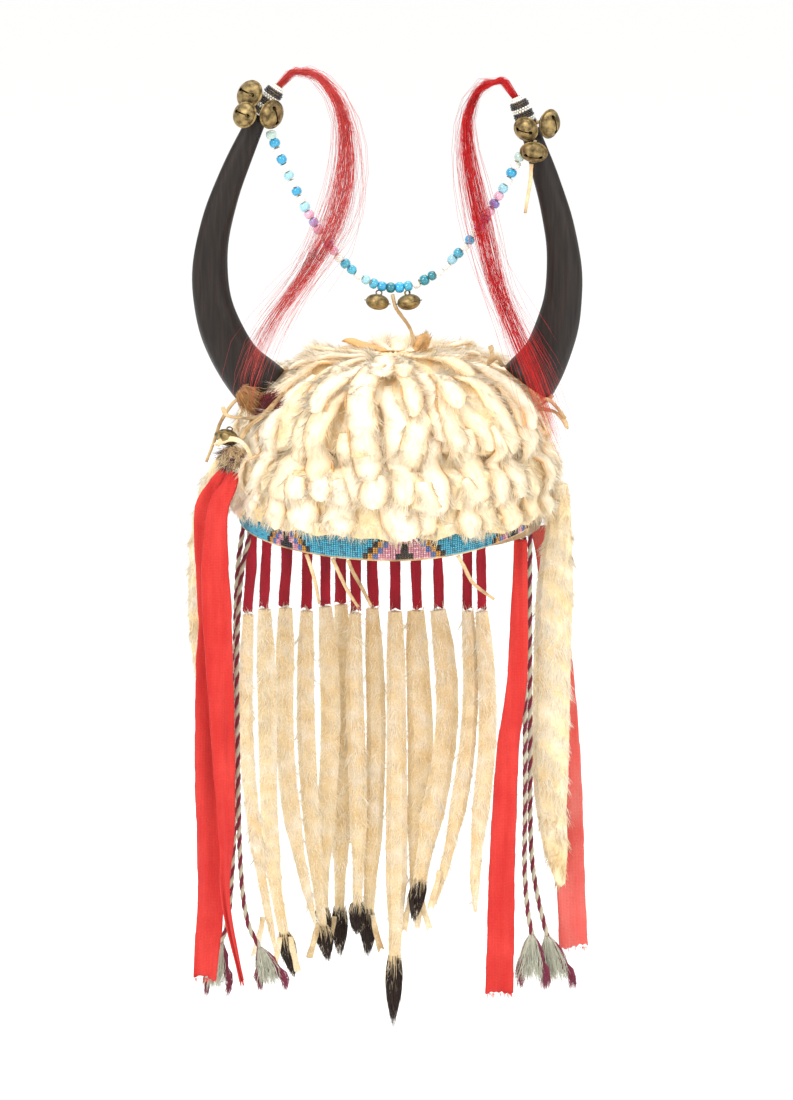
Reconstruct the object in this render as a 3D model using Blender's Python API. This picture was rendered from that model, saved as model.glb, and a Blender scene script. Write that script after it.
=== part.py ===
"""Horned war bonnet: a skull cap covered with rows of white fur strips, with a
beaded brow band, two black horns joined by a bead string, bells, horsehair
plumes, red cloth streamers, twisted wool cords and fur drops on cloth tabs.

Metres. The front of the bonnet faces -Y, +Z is up, and +X is the right side of
the front view. The origin is the middle of the head opening at the cap's rim.
"""

import math
from typing import NamedTuple

import bmesh
import bpy
import numpy as np
from mathutils import Quaternion, Vector

# Sizes
GAP = 0.0005

CAP_HALF_WIDTH = 0.096
CAP_HALF_DEPTH = 0.101
CAP_HEIGHT = 0.104
CAP_WALL = 0.003
CAP_COLUMNS = 24
CAP_ROWS = 6

BAND_TALL = 0.022
BAND_THICK = 0.0027
BAND_STANDOFF = 0.0008
BAND_DIP = 0.005
BAND_RISE_RIGHT = 0.009

FUR_DEEP = 0.0080

HORN_BASE_WIDE = 0.036
HORN_FLATNESS = 0.72
HORN_FORWARD = 0.020

WRAP_WIDE = 0.0115
BELL_ROUND = 0.0155
BELL_FLAT = 0.66
BEAD_ROUND = 0.0067
PLUME_TIP = 0.0030
BEADS = 46
STRING_SAG_LEVEL = 0.155

TAB_LENGTH = 0.078
TAB_WIDE = 0.0066
TAB_THICK = 0.0016
DROP_WIDE = 0.0112
DROP_THICK = 0.0076
FRINGE_HEAD_TALL = 0.010

CLOTH_THICK = 0.0010
YARN_ROUND = 0.0036
THONG_ROUND = 0.0024
TASSEL_WIDE = 0.0135
SKIN_THICK = 0.0090


class Finish(NamedTuple):
    """A surface of one real material: its colour, gloss and metalness."""

    name: str
    colour: tuple
    roughness: float
    metallic: float = 0.0


FELT = Finish("cap_felt", (0.42, 0.33, 0.22, 1), 0.95)
FUR = Finish("white_fur", (0.93, 0.86, 0.72, 1), 0.9)
DROP_FUR = Finish("cream_fur", (0.86, 0.74, 0.52, 1), 0.9)
SKIN_FUR = Finish("long_cream_fur", (0.88, 0.76, 0.55, 1), 0.9)
BEADWORK = Finish("turquoise_beadwork", (0.16, 0.48, 0.62, 1), 0.4)
HORN = Finish("black_horn", (0.025, 0.018, 0.015, 1), 0.35)
SEED_WRAP = Finish("white_seed_beads", (0.85, 0.85, 0.82, 1), 0.4)
BRASS = Finish("aged_brass", (0.35, 0.26, 0.12, 1), 0.4, 0.9)
GLASS_BEAD = Finish("blue_glass_beads", (0.10, 0.45, 0.62, 1), 0.25)
HORSEHAIR = Finish("red_horsehair", (0.72, 0.10, 0.09, 1), 0.6)
CLOTH = Finish("red_cloth", (0.82, 0.07, 0.05, 1), 0.9)
STROUD = Finish("crimson_wool_cloth", (0.28, 0.01, 0.025, 1), 0.95)
WOOL = Finish("maroon_wool_yarn", (0.22, 0.04, 0.06, 1), 0.95)
TASSEL = Finish("grey_wool_tassel", (0.55, 0.52, 0.44, 1), 0.95)
HIDE = Finish("tan_hide", (0.60, 0.43, 0.24, 1), 0.85)


def material_of(finish):
    """The finish as a material, made once."""
    found = bpy.data.materials.get(finish.name)
    if found:
        return found
    made = bpy.data.materials.new(finish.name)
    made.use_nodes = True
    shader = made.node_tree.nodes["Principled BSDF"]
    shader.inputs["Base Color"].default_value = finish.colour
    shader.inputs["Roughness"].default_value = finish.roughness
    shader.inputs["Metallic"].default_value = finish.metallic
    return made


def wobble(index, share=0.0):
    """A fixed uneven number between -1 and 1 for a strip or a strand."""
    return math.sin(
        index * 12.9898 + share * 78.233 + 1.3
    ) * 0.62 + math.sin(index * 4.137 + share * 9.1) * 0.38


def add_piece(name, points, faces, finish, crease=50.0):
    """Makes one closed body from its points and faces, with its normals outward."""
    mesh = bpy.data.meshes.new(name)
    mesh.from_pydata([tuple(p) for p in points], [], faces)
    shape = bmesh.new()
    shape.from_mesh(mesh)
    bmesh.ops.recalc_face_normals(shape, faces=shape.faces)
    if shape.calc_volume(signed=True) < 0:
        bmesh.ops.reverse_faces(shape, faces=shape.faces)
    shape.to_mesh(mesh)
    shape.free()
    for polygon in mesh.polygons:
        polygon.use_smooth = True
    mesh.set_sharp_from_angle(angle=math.radians(crease))
    mesh.materials.append(material_of(finish))
    piece = bpy.data.objects.new(name, mesh)
    bpy.context.scene.collection.objects.link(piece)
    return piece


def smooth_route(points, count):
    """A smooth curve through the points, read at even steps of its length."""
    given = [Vector(p) for p in points]
    ends = [given[0] * 2 - given[1]] + given + [given[-1] * 2 - given[-2]]
    fine = []
    for i in range(len(given) - 1):
        a, b, c, d = ends[i : i + 4]
        for k in range(12):
            s = k / 12
            fine.append(
                0.5 * (
                    (2 * b) + (c - a) * s + (
                        2 * a - 5 * b + 4 * c - d
                    ) * s**2 + (3 * b - a - 3 * c + d) * s**3
                )
            )
    fine.append(given[-1])
    xyz = np.array([tuple(p) for p in fine])
    run = np.concatenate([[0], np.cumsum(np.linalg.norm(np.diff(xyz, axis=0), axis=1))])
    at = np.linspace(0, run[-1], count)
    return [Vector([np.interp(s, run, xyz[:, axis]) for axis in range(3)]) for s in at]


def section_frames(route, across_hint):
    """Across and forward directions, square to the route at each of its points."""
    frames = []
    for i, _ in enumerate(route):
        along = (route[min(i + 1, len(route) - 1)] - route[max(i - 1, 0)]).normalized()
        across = (across_hint - along * across_hint.dot(along)).normalized()
        frames.append((across, along.cross(across).normalized()))
    return frames


def loft(name, rings, finish, crease=50.0, tips=None):
    """Joins rings of equal count into one body, with each end closed to a middle point."""
    count = len(rings[0])
    points = [p for ring in rings for p in ring]
    faces = []
    for row in range(len(rings) - 1):
        for k in range(count):
            j = (k + 1) % count
            a = row * count
            faces.append((a + k, a + j, a + count + j, a + count + k))
    for end, row in ((0, 0), (1, len(rings) - 1)):
        middle = sum(rings[row], Vector()) / count
        if tips is not None and tips[end] is not None:
            middle = tips[end]
        points.append(middle)
        base = row * count
        for k in range(count):
            j = (k + 1) % count
            faces.append((base + k, base + j, len(points) - 1))
    return add_piece(name, points, faces, finish, crease)


def tube(
    name,
    route,
    wide,
    deep,
    finish,
    across_hint=(1, 0, 0),
    sides=8,
    lobes=0,
    lobe_depth=0.0,
    tip=0.0,
):
    """A soft tube of oval section. `wide` and `deep` give the half sizes at a share of its length."""
    frames = section_frames(route, Vector(across_hint))
    rings = []
    last = len(route) - 1
    for i, centre in enumerate(route):
        across, forward = frames[i]
        share = i / last
        ring = []
        for k in range(sides):
            turn = 2 * math.pi * k / sides
            swell = 1 + lobe_depth * math.cos(lobes * turn) if lobes else 1
            ring.append(
                centre
                + across * (wide(share) * swell * math.cos(turn))
                + forward * (deep(share) * swell * math.sin(turn))
            )
        rings.append(ring)
    start_dir = (route[0] - route[1]).normalized()
    end_dir = (route[-1] - route[-2]).normalized()
    tips = (route[0] + start_dir * tip, route[-1] + end_dir * tip) if tip else None
    return loft(name, rings, finish, tips=tips)


def strip(name, route, wide, thick, finish, across_hint=(1, 0, 0), columns=2, curl=0.0, twist=None):
    """A cloth strip of one thickness with a soft curl across it."""
    frames = section_frames(route, Vector(across_hint))
    rings = []
    last = len(route) - 1
    for i, centre in enumerate(route):
        across, forward = frames[i]
        share = i / last
        if twist is not None:
            angle = twist(share)
            across, forward = (
                across * math.cos(angle) + forward * math.sin(angle),
                forward * math.cos(angle) - across * math.sin(angle),
            )
        half = wide(share)
        ring = []
        for side in (1, -1):
            for k in range(columns + 1):
                s = (2 * k / columns - 1) * side
                bow = curl * half * math.sin(s * 2.6 + share * 5.0)
                ring.append(centre + across * (s * half) + forward * (bow + side * thick / 2))
        rings.append(ring)
    return loft(name, rings, finish, crease=35.0)


def bar_profile(share, *rows):
    """Straight interpolation in a short table of (share, value) rows."""
    return float(np.interp(share, [r[0] for r in rows], [r[1] for r in rows]))


def dome_profile(share):
    """Radius and height shares of the cap's outer line, from the crown (0) to the rim (1)."""
    turn = max(share, 0.0) * math.pi / 2
    return math.sin(turn) ** 0.80, max(math.cos(turn), 0.0) ** 0.76


def dome_point(share, turn, offset):
    """A point at this offset from the cap's outer face. Turn 0 is +X and 90 degrees is the rear."""
    mean = (CAP_HALF_WIDTH + CAP_HALF_DEPTH) / 2
    low, high = max(share - 0.02, 0.002), min(share + 0.02, 0.999)
    r0, z0 = dome_profile(low)
    r1, z1 = dome_profile(high)
    run, drop = (r1 - r0) * mean, (z0 - z1) * CAP_HEIGHT
    length = math.hypot(run, drop)
    out, up = drop / length, run / length
    if share >= 0.985:
        out, up = 1.0, 0.0
    r, z = dome_profile(share)
    return Vector(
        (
            (CAP_HALF_WIDTH * r + offset * out) * math.cos(turn),
            (CAP_HALF_DEPTH * r + offset * out) * math.sin(turn),
            CAP_HEIGHT * z + offset * up,
        )
    )


def build_cap():
    """The hollow skull cap, open at its rim."""
    points, faces = [], []
    for offset in (0.0, -CAP_WALL):
        points.append(Vector((0, 0, CAP_HEIGHT + offset)))
        for row in range(1, CAP_ROWS + 1):
            for k in range(CAP_COLUMNS):
                point = dome_point(row / CAP_ROWS, 2 * math.pi * k / CAP_COLUMNS, offset)
                if row == CAP_ROWS:
                    point.z = 0.0
                points.append(point)
    size = 1 + CAP_ROWS * CAP_COLUMNS
    for layer in range(2):
        base = layer * size + 1
        for k in range(CAP_COLUMNS):
            j = (k + 1) % CAP_COLUMNS
            faces.append((layer * size, base + k, base + j))
            for row in range(CAP_ROWS - 1):
                a, b = base + row * CAP_COLUMNS, base + (row + 1) * CAP_COLUMNS
                faces.append((a + k, b + k, b + j, a + j))
    rim = 1 + (CAP_ROWS - 1) * CAP_COLUMNS
    for k in range(CAP_COLUMNS):
        j = (k + 1) % CAP_COLUMNS
        faces.append((rim + k, size + rim + k, size + rim + j, rim + j))
    add_piece("cap_shell", points, faces, FELT)


class TierRow(NamedTuple):
    """A line of a fur tier: its share of the way from crown to rim, and its offsets as fur depths."""

    at: float
    inner: float
    valley: float
    ridge: float
    on_band: bool = False


class Tier(NamedTuple):
    """One ring of fur strips."""

    name: str
    strips: int
    ragged: float
    rows: tuple


CROWN_ROWS = (
    TierRow(0.10, 0.22, 0.50, 0.84),
    TierRow(0.28, 0.22, 0.80, 1.60),
    TierRow(0.46, 0.22, 1.00, 2.10),
    TierRow(0.60, 0.34, 1.05, 2.16),
    TierRow(0.72, 0.58, 0.92, 1.60),
)
MIDDLE_ROWS = (
    TierRow(0.672, 0.08, 0.21, 0.23),
    TierRow(0.735, 0.08, 0.24, 0.30),
    TierRow(0.785, 0.08, 0.62, 1.50),
    TierRow(0.832, 1.02, 1.18, 1.62),
    TierRow(0.88, 1.02, 1.14, 1.40),
)
LOW_ROWS = (
    TierRow(0.850, 0.08, 0.18, 0.20, True),
    TierRow(0.915, 0.08, 0.22, 0.26, True),
    TierRow(0.935, 0.08, 0.30, 0.84, True),
    TierRow(0.968, 0.10, 0.26, 0.62, True),
)
TIERS = (
    Tier("fur_tier_low", 26, 0.010, LOW_ROWS),
    Tier("fur_tier_middle", 24, 0.016, MIDDLE_ROWS),
    Tier("fur_tier_crown", 19, 0.030, CROWN_ROWS),
)


def over_band(share):
    """How far the brow band's outer face stands off the cap at this share."""
    return BAND_STANDOFF + BAND_THICK + CAP_HALF_DEPTH * (1 - dome_profile(share)[0])


def build_tier(tier):
    """A ring of rounded fur strips, side by side on one hide backing, with a ragged lower edge."""
    columns = tier.strips * 2
    closed_top = tier.rows[0].at < 0.2
    last = len(tier.rows) - 1
    outer, inner = [], []
    for index, row in enumerate(tier.rows):
        base = over_band(row.at) if row.on_band else 0.0
        for k in range(columns):
            which, ridge = divmod(k, 2)
            turn = 2 * math.pi * (
                which + 0.5 * ridge + 0.12 * wobble(which, tier.ragged * 30)
            ) / tier.strips
            reach = row.at
            if index == last:
                reach += tier.ragged * wobble(which + 3, 0.6) - (0.0 if ridge else tier.ragged * 0.8)
            rise = row.ridge * (1 + 0.14 * wobble(which, 0.4)) if ridge else row.valley
            outer.append(dome_point(reach, turn, base + FUR_DEEP * rise))
            inner.append(dome_point(reach, turn, base + FUR_DEEP * row.inner))
    points = outer + inner
    size = len(outer)
    faces = []
    for k in range(columns):
        j = (k + 1) % columns
        for base in (0, size):
            for index in range(last):
                a, b = base + index * columns, base + (index + 1) * columns
                faces.append((a + k, b + k, b + j, a + j))
        a = last * columns
        faces.append((a + k, size + a + k, size + a + j, a + j))
        if not closed_top:
            faces.append((k, j, size + j, size + k))
    if closed_top:
        for base, height in ((0, 0.74), (size, 0.22)):
            points.append(Vector((0, 0, CAP_HEIGHT + FUR_DEEP * height)))
            for k in range(columns):
                faces.append((base + k, base + (k + 1) % columns, len(points) - 1))
    add_piece(tier.name, points, faces, FUR, crease=80.0)


def band_low(turn):
    """Height of the band's lower edge: it dips in front and rises at its right end."""
    front, right = max(0.0, -math.sin(turn)), max(0.0, math.cos(turn))
    return -BAND_DIP * front**2 + BAND_RISE_RIGHT * right**2 + 0.0010


def build_band():
    """The brow band: a thick beaded strip round the front of the rim."""
    count = 34
    first, last = math.radians(-196), math.radians(-31)
    points, faces = [], []
    for i in range(count + 1):
        s = i / count
        turn = first + (last - first) * s
        low = band_low(turn)
        tall = BAND_TALL * (1 - 0.18 * max(0.0, (s - 0.96) / 0.04))
        for offset in (BAND_STANDOFF, BAND_STANDOFF + BAND_THICK):
            for height in (low, low + tall):
                points.append(
                    Vector(
                        (
                            (CAP_HALF_WIDTH + offset) * math.cos(turn),
                            (CAP_HALF_DEPTH + offset) * math.sin(turn),
                            height,
                        )
                    )
                )
    for i in range(count):
        a, b = 4 * i, 4 * i + 4
        faces += [
            (a, b, b + 1, a + 1),
            (a + 2, a + 3, b + 3, b + 2),
            (a, a + 2, b + 2, b),
            (a + 1, b + 1, b + 3, a + 3),
        ]
    end = 4 * count
    faces += [(0, 1, 3, 2), (end, end + 2, end + 3, end + 1)]
    add_piece("brow_band", points, faces, BEADWORK, crease=40.0)


class HornPlan(NamedTuple):
    """Where one horn stands: half-span and height of its base and tip, and how far it bows out."""

    side: int
    name: str
    base_out: float
    base_up: float
    tip_out: float
    tip_up: float
    bow: float


HORNS = (
    HornPlan(-1, "left", 0.0830, 0.090, 0.0850, 0.2650, 0.0330),
    HornPlan(1, "right", 0.0853, 0.0942, 0.0855, 0.2560, 0.0225),
)


def horn_route(plan, count):
    """The horn's middle line: it bows out low down and draws in towards the tip."""
    rows = []
    for i in range(12):
        s = i / 11
        bow = math.sin(math.pi * s**0.80)
        out = plan.base_out + (plan.tip_out - plan.base_out) * s + plan.bow * bow
        rows.append(
            (
                plan.side * out,
                -HORN_FORWARD - 0.004 * s,
                plan.base_up + (plan.tip_up - plan.base_up) * s,
            )
        )
    return smooth_route(rows, count)


def build_horn(plan):
    """One horn: a flattened, tapering, curved body."""
    half = HORN_BASE_WIDE / 2

    def wide(s):
        return half * bar_profile(
            s,
            (0, 1.0),
            (0.12, 0.84),
            (0.35, 0.68),
            (0.6, 0.54),
            (0.8, 0.45),
            (1, 0.33),
        )

    route = horn_route(plan, 12)
    tube(f"horn_{plan.name}", route, wide, lambda s: wide(s) * HORN_FLATNESS, HORN, sides=12)
    return route


def build_wrap(plan):
    """The beaded stalk that binds a plume to its horn tip."""
    lean = Vector((-plan.side * 0.0100, 0, 0.0150))
    if plan.side > 0:
        lean = Vector((-0.0070, 0, 0.0165))
    foot = Vector((plan.side * plan.tip_out, -HORN_FORWARD - 0.004, plan.tip_up))
    foot = foot + lean.normalized() * 0.0011
    route = [foot + lean * s for s in (0, 0.08, 0.4, 0.7, 0.95, 1.2)]
    half = WRAP_WIDE / 2

    def wide(s):
        return half * bar_profile(s, (0, 0.75), (0.1, 0.95), (0.3, 1.0), (0.8, 0.9), (1, 0.45))

    tube(f"bead_wrap_{plan.name}", route, wide, wide, SEED_WRAP, sides=12)
    return route[-1], lean.normalized()


class BellPlan(NamedTuple):
    """A hawk bell: its middle in mm, size share, lug's way and reach, and its slit's turn in degrees."""

    name: str
    x: float
    y: float
    z: float
    size: float
    lug: tuple
    reach: float
    slit: float


BELLS = (
    BellPlan("bell_left_upper", -90.1, -34.8, 279.35, 1.05, (0.45, 0.75, -0.35), 1.9, 0),
    BellPlan("bell_left_lower", -92.9, -43.6, 267.4, 0.95, (0.45, 0.85, -0.30), 1.9, 0),
    BellPlan("bell_left_inner", -76.3, -38.8, 267.2, 1.05, (-0.62, 0.75, 0.12), 1.9, 78),
    BellPlan("bell_right_inner", 82.5, -38.5, 258.0, 0.92, (0.35, 0.85, 0.25), 1.9, 0),
    BellPlan("bell_right_outer", 97.4, -33.4, 260.8, 1.05, (-0.70, 0.65, 0.05), 1.9, 80),
    BellPlan("bell_right_lower", 87.5, -37.7, 243.5, 1.0, (0.10, 0.75, 0.60), 1.9, 0),
    BellPlan("bell_centre_left", -10.5, -18.5, 146.25, 0.97, (0.16, 0.10, 0.97), 1.28, 0),
    BellPlan("bell_centre_right", 9.5, -18.5, 146.15, 0.97, (-0.16, 0.10, 0.97), 1.28, 0),
    BellPlan("bell_side_left", -105.8, -43.8, 63.3, 0.95, (0.25, 0.5, 0.8), 1.28, 0),
)


def build_bell(plan):
    """A round bell with a flange at its equator, a sounding slit and a lug on top."""
    half = BELL_ROUND * plan.size / 2
    rows = (
        (-0.94, 0.40),
        (-0.55, 0.86),
        (-0.05, 1.10),
        (0.06, 1.10),
        (0.55, 0.86),
        (0.96, 0.26),
        (plan.reach, 0.20),
    )
    axis = Vector(plan.lug).normalized()
    side = axis.cross(Vector((0.13, -0.31, 0.94))).normalized()
    side.rotate(Quaternion(axis, math.radians(plan.slit)))
    other = axis.cross(side)
    centre = Vector((plan.x, plan.y, plan.z)) * 0.001
    rings = []
    for up, out in rows:
        ring = []
        for k in range(8):
            turn = 2 * math.pi * k / 8
            ring.append(
                centre + axis * (up * half * BELL_FLAT) + (
                    side * math.cos(turn) + other * math.sin(turn)
                ) * (out * half)
            )
        rings.append(ring)
    bell = loft(plan.name, rings, BRASS)
    slot = bpy.data.meshes.new(plan.name + "_slit")
    shape = bmesh.new()
    bmesh.ops.create_cube(shape, size=1.0)
    for vertex in shape.verts:
        local = vertex.co
        vertex.co = centre + axis * (
            -half * BELL_FLAT + local.z * half * 0.7
        ) + side * (local.x * half * 1.5) + other * (local.y * half * 0.16)
    if shape.calc_volume(signed=True) < 0:
        bmesh.ops.reverse_faces(shape, faces=shape.faces)
    shape.to_mesh(slot)
    shape.free()
    cutter = bpy.data.objects.new(plan.name + "_slit", slot)
    cutter.hide_render = True
    cutter.display_type = "WIRE"
    bpy.context.scene.collection.objects.link(cutter)
    cut = bell.modifiers.new("slit", "BOOLEAN")
    cut.operation = "DIFFERENCE"
    cut.solver = "EXACT"
    cut.object = cutter


def string_point(across):
    """The bead string's line: it hangs in a bow between the two horn tips."""
    reach, rise = (0.0780, 0.1010) if across < 0 else (0.0800, 0.0870)
    s = abs(across)
    x = math.copysign(reach * s, across)
    return Vector((x, -0.016 - 0.012 * s**1.5, STRING_SAG_LEVEL + rise * s**2))


def build_string():
    """The glass beads on their thong, as one body: each bead swells and narrows along the line."""
    route = smooth_route([string_point(-1 + 2 * i / 24) for i in range(25)], 2 * BEADS + 1)
    half = BEAD_ROUND / 2

    def bulge(s):
        step = round(s * 2 * BEADS) % 2
        which = int(round(s * 2 * BEADS) // 2)
        size = 1.0 + 0.09 * wobble(which)
        return half * (0.52 if step == 0 else size)

    tube("bead_string", route, bulge, bulge, GLASS_BEAD, across_hint=(0, 1, 0), sides=10)


class PlumeRow(NamedTuple):
    """A place on a plume: inward and downward from its head, and its spread, in millimetres."""

    inward: float
    down: float
    ahead: float
    spread: float


LEFT_PLUME = (
    PlumeRow(0, 0, 0, 2.6),
    PlumeRow(5, -5, 0, 3.6),
    PlumeRow(15, -8, 2, 5),
    PlumeRow(29, 1, 6, 8),
    PlumeRow(39, 20, 8, 10),
    PlumeRow(41, 46, 10, 11),
    PlumeRow(38, 71, 12, 10),
    PlumeRow(30, 94, 15, 7),
    PlumeRow(14, 121, 20, 6),
    PlumeRow(-2, 142, 27, 7),
    PlumeRow(-14, 162, 35, 8),
    PlumeRow(-21, 180, 40, 7),
)
RIGHT_PLUME = (
    PlumeRow(0, 0, 0, 2.6),
    PlumeRow(4, -6, 0, 3.6),
    PlumeRow(13, -9, 2, 5),
    PlumeRow(24, -1, 6, 8),
    PlumeRow(30, 17, 8, 9),
    PlumeRow(29, 40, 10, 9),
    PlumeRow(24, 66, 12, 8),
    PlumeRow(18, 92, 15, 7),
    PlumeRow(11, 119, 21, 8),
    PlumeRow(1, 144, 29, 10),
    PlumeRow(-11, 170, 37, 10),
    PlumeRow(-22, 200, 42, 8),
)


def build_plume(plan, head, rows):
    """A horsehair plume in locks: it rises from its stalk, turns over and falls past the horn."""
    route = [head + Vector((-plan.side * r.inward, -r.ahead, -r.down)) * 0.001 for r in rows]
    smooth = smooth_route(route, 12)
    spreads = [(i / (len(rows) - 1), r.spread * 0.001) for i, r in enumerate(rows)]
    tube(
        f"plume_{plan.name}", smooth, lambda s: bar_profile(
            s,
            *spreads
        ) * 0.85, lambda s: bar_profile(s, *spreads) * 0.45,
        HORSEHAIR, sides=12, lobes=4, lobe_depth=0.16, tip=PLUME_TIP,
    )


class DropPlan(NamedTuple):
    """A fur drop: its places across at tab and foot, its sway and setback in mm, its size shares."""

    top: float
    foot: float
    sway: float
    setback: float
    length: float
    width: float


DROPS = (
    DropPlan(-98, -82, -4, 0, 0.93, 0.85),
    DropPlan(-88, -70, 2, 0, 1.00, 1.10),
    DropPlan(-75, -56, 0, -3, 0.88, 1.10),
    DropPlan(-60, -47, 0, -6, 0.97, 1.05),
    DropPlan(-47, -47, 7, 0, 0.95, 1.15),
    DropPlan(-37, -37, 6, 8, 0.98, 1.10),
    DropPlan(-26, -26, 0, -8, 0.90, 1.05),
    DropPlan(-14, -18, 3, 0, 0.97, 1.15),
    DropPlan(1, 0, 2, -8, 1.14, 1.25),
    DropPlan(16, 19, 3, 1, 0.90, 1.55),
    DropPlan(31, 20, 10, -6, 0.86, 1.40),
    DropPlan(50, 32, 5, -7, 0.82, 1.00),
    DropPlan(60, 61, 7, -4, 0.84, 1.10),
)


def rim_depth(across):
    """How far back the rim stands at this place across."""
    return CAP_HALF_DEPTH * math.sqrt(max(0.0, 1 - (across / (CAP_HALF_WIDTH + 0.004)) ** 2))


def build_fringe():
    """Crimson cloth tabs cut from one strip along the rear of the rim."""
    level = -GAP
    middle = -CAP_WALL / 2
    shape = bmesh.new()

    def block(points):
        made = [shape.verts.new(p) for p in points]
        for face in (
            (0, 1, 3, 2),
            (4, 6, 7, 5),
            (0, 4, 5, 1),
            (2, 3, 7, 6),
            (0, 2, 6, 4),
            (1, 5, 7, 3),
        ):
            shape.faces.new([made[k] for k in face])

    head_points, head_faces = [], []
    count = 18
    first, last = math.radians(8), math.radians(186)
    for i in range(count + 1):
        turn = first + (last - first) * i / count
        for offset in (middle - TAB_THICK / 2, middle + TAB_THICK / 2):
            for height in (level - FRINGE_HEAD_TALL, level):
                head_points.append(
                    Vector(
                        (
                            (CAP_HALF_WIDTH + offset) * math.cos(turn),
                            (CAP_HALF_DEPTH + offset) * math.sin(turn),
                            height,
                        )
                    )
                )
    for i in range(count):
        a, b = 4 * i, 4 * i + 4
        head_faces += [
            (a, b, b + 1, a + 1),
            (a + 2, a + 3, b + 3, b + 2),
            (a, a + 2, b + 2, b),
            (a + 1, b + 1, b + 3, a + 3),
        ]
    end = 4 * count
    head_faces += [(0, 1, 3, 2), (end, end + 2, end + 3, end + 1)]
    head = add_piece("stroud_fringe", head_points, head_faces, STROUD, crease=40.0)
    for i, drop in enumerate(DROPS):
        back = rim_depth(drop.top * 0.001)
        top = Vector((drop.top * 0.001, back - 0.0015, level - FRINGE_HEAD_TALL * 0.45))
        turn = math.atan2(top.y / CAP_HALF_DEPTH, top.x / CAP_HALF_WIDTH)
        top.x = (CAP_HALF_WIDTH + middle) * math.cos(turn)
        top.y = (CAP_HALF_DEPTH + middle) * math.sin(turn)
        foot = tab_foot(i)
        mid = top.lerp(foot, 0.5) + Vector((0.0015 * wobble(i), 0, 0))
        hint = Vector((-math.sin(turn), math.cos(turn), 0)).lerp(Vector((-1, 0, 0)), 0.35)
        route = [top, mid, foot]
        half = TAB_WIDE / 2 * (1 + 0.12 * wobble(i, 0.7))
        tab = strip(
            f"tab_{i}",
            route,
            lambda s: half,
            TAB_THICK * 0.94,
            STROUD,
            across_hint=hint,
            columns=1,
        )
        tab.hide_render = True
        tab.display_type = "WIRE"
        join = head.modifiers.new(f"tab_{i}", "BOOLEAN")
        join.operation = "UNION"
        join.solver = "EXACT"
        join.object = tab


def tab_foot(index):
    """The lower end of a tab, where its fur drop starts."""
    drop = DROPS[index]
    back = rim_depth(drop.top * 0.001)
    fall = TAB_LENGTH * (0.80 + 0.20 * back / CAP_HALF_DEPTH) + 0.003 * wobble(index, 0.2)
    return Vector((drop.top * 0.001 * 0.985, back - 0.0015 + drop.setback * 0.001, -fall))


def build_drops():
    """The fur drops: soft tubes with slim tails, each hanging from its own tab."""
    for i, drop in enumerate(DROPS):
        top = tab_foot(i) - Vector((0, 0, 0.0016))
        length = drop.length * 0.250
        rows = []
        for k in range(8):
            s = k / 7
            sway = drop.sway * 0.0005 * math.sin(s * math.pi * 1.6) + 0.0014 * wobble(i, s * 4)
            rows.append(
                (top.x + (drop.foot - drop.top) * 0.001 * s**3 + sway, top.y, top.z - length * s)
            )
        half, deep = DROP_WIDE / 2 * drop.width, DROP_THICK / 2

        def girth(s, i=i):
            rows = ((0, 0.70), (0.04, 0.92), (0.3, 1), (0.68, 1), (0.79, 0.62), (0.92, 0.55), (1, 0.2))
            return bar_profile(s, *rows) * (1 + 0.07 * wobble(i, s * 5))

        tube(
            f"fur_drop_{i + 1:02d}", smooth_route(
                rows,
                10,
            ), lambda s: half * girth(s), lambda s: deep * girth(s),
            DROP_FUR, sides=6, tip=0.001,
        )


class RoutePoint(NamedTuple):
    """A place on a hanging piece: across, back and up, in millimetres."""

    x: float
    y: float
    z: float


def metres(rows):
    """The route's rows in metres."""
    return [Vector((r.x, r.y, r.z)) * 0.001 for r in rows]


def rim_seat(turn_degrees, outset=0.0):
    """The place just under the cap's rim at this turn, `outset` outside the middle of its wall."""
    turn = math.radians(turn_degrees)
    off = outset - CAP_WALL / 2
    return Vector(
        ((CAP_HALF_WIDTH + off) * math.cos(turn), (CAP_HALF_DEPTH + off) * math.sin(turn), -GAP)
    )


def band_seat(turn_degrees):
    """The place just under the brow band's lower edge at this turn."""
    turn = math.radians(turn_degrees)
    off = BAND_STANDOFF + BAND_THICK / 2
    low = band_low(turn)
    return Vector(
        (
            (CAP_HALF_WIDTH + off) * math.cos(turn),
            (CAP_HALF_DEPTH + off) * math.sin(turn),
            low - 1.9 * GAP,
        )
    )


def hung(seat, rows):
    """A route from its seat on through rows of across, back and down from it, in millimetres."""
    return [seat] + [seat + Vector((r.x, r.y, r.z)) * 0.001 for r in rows]


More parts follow.
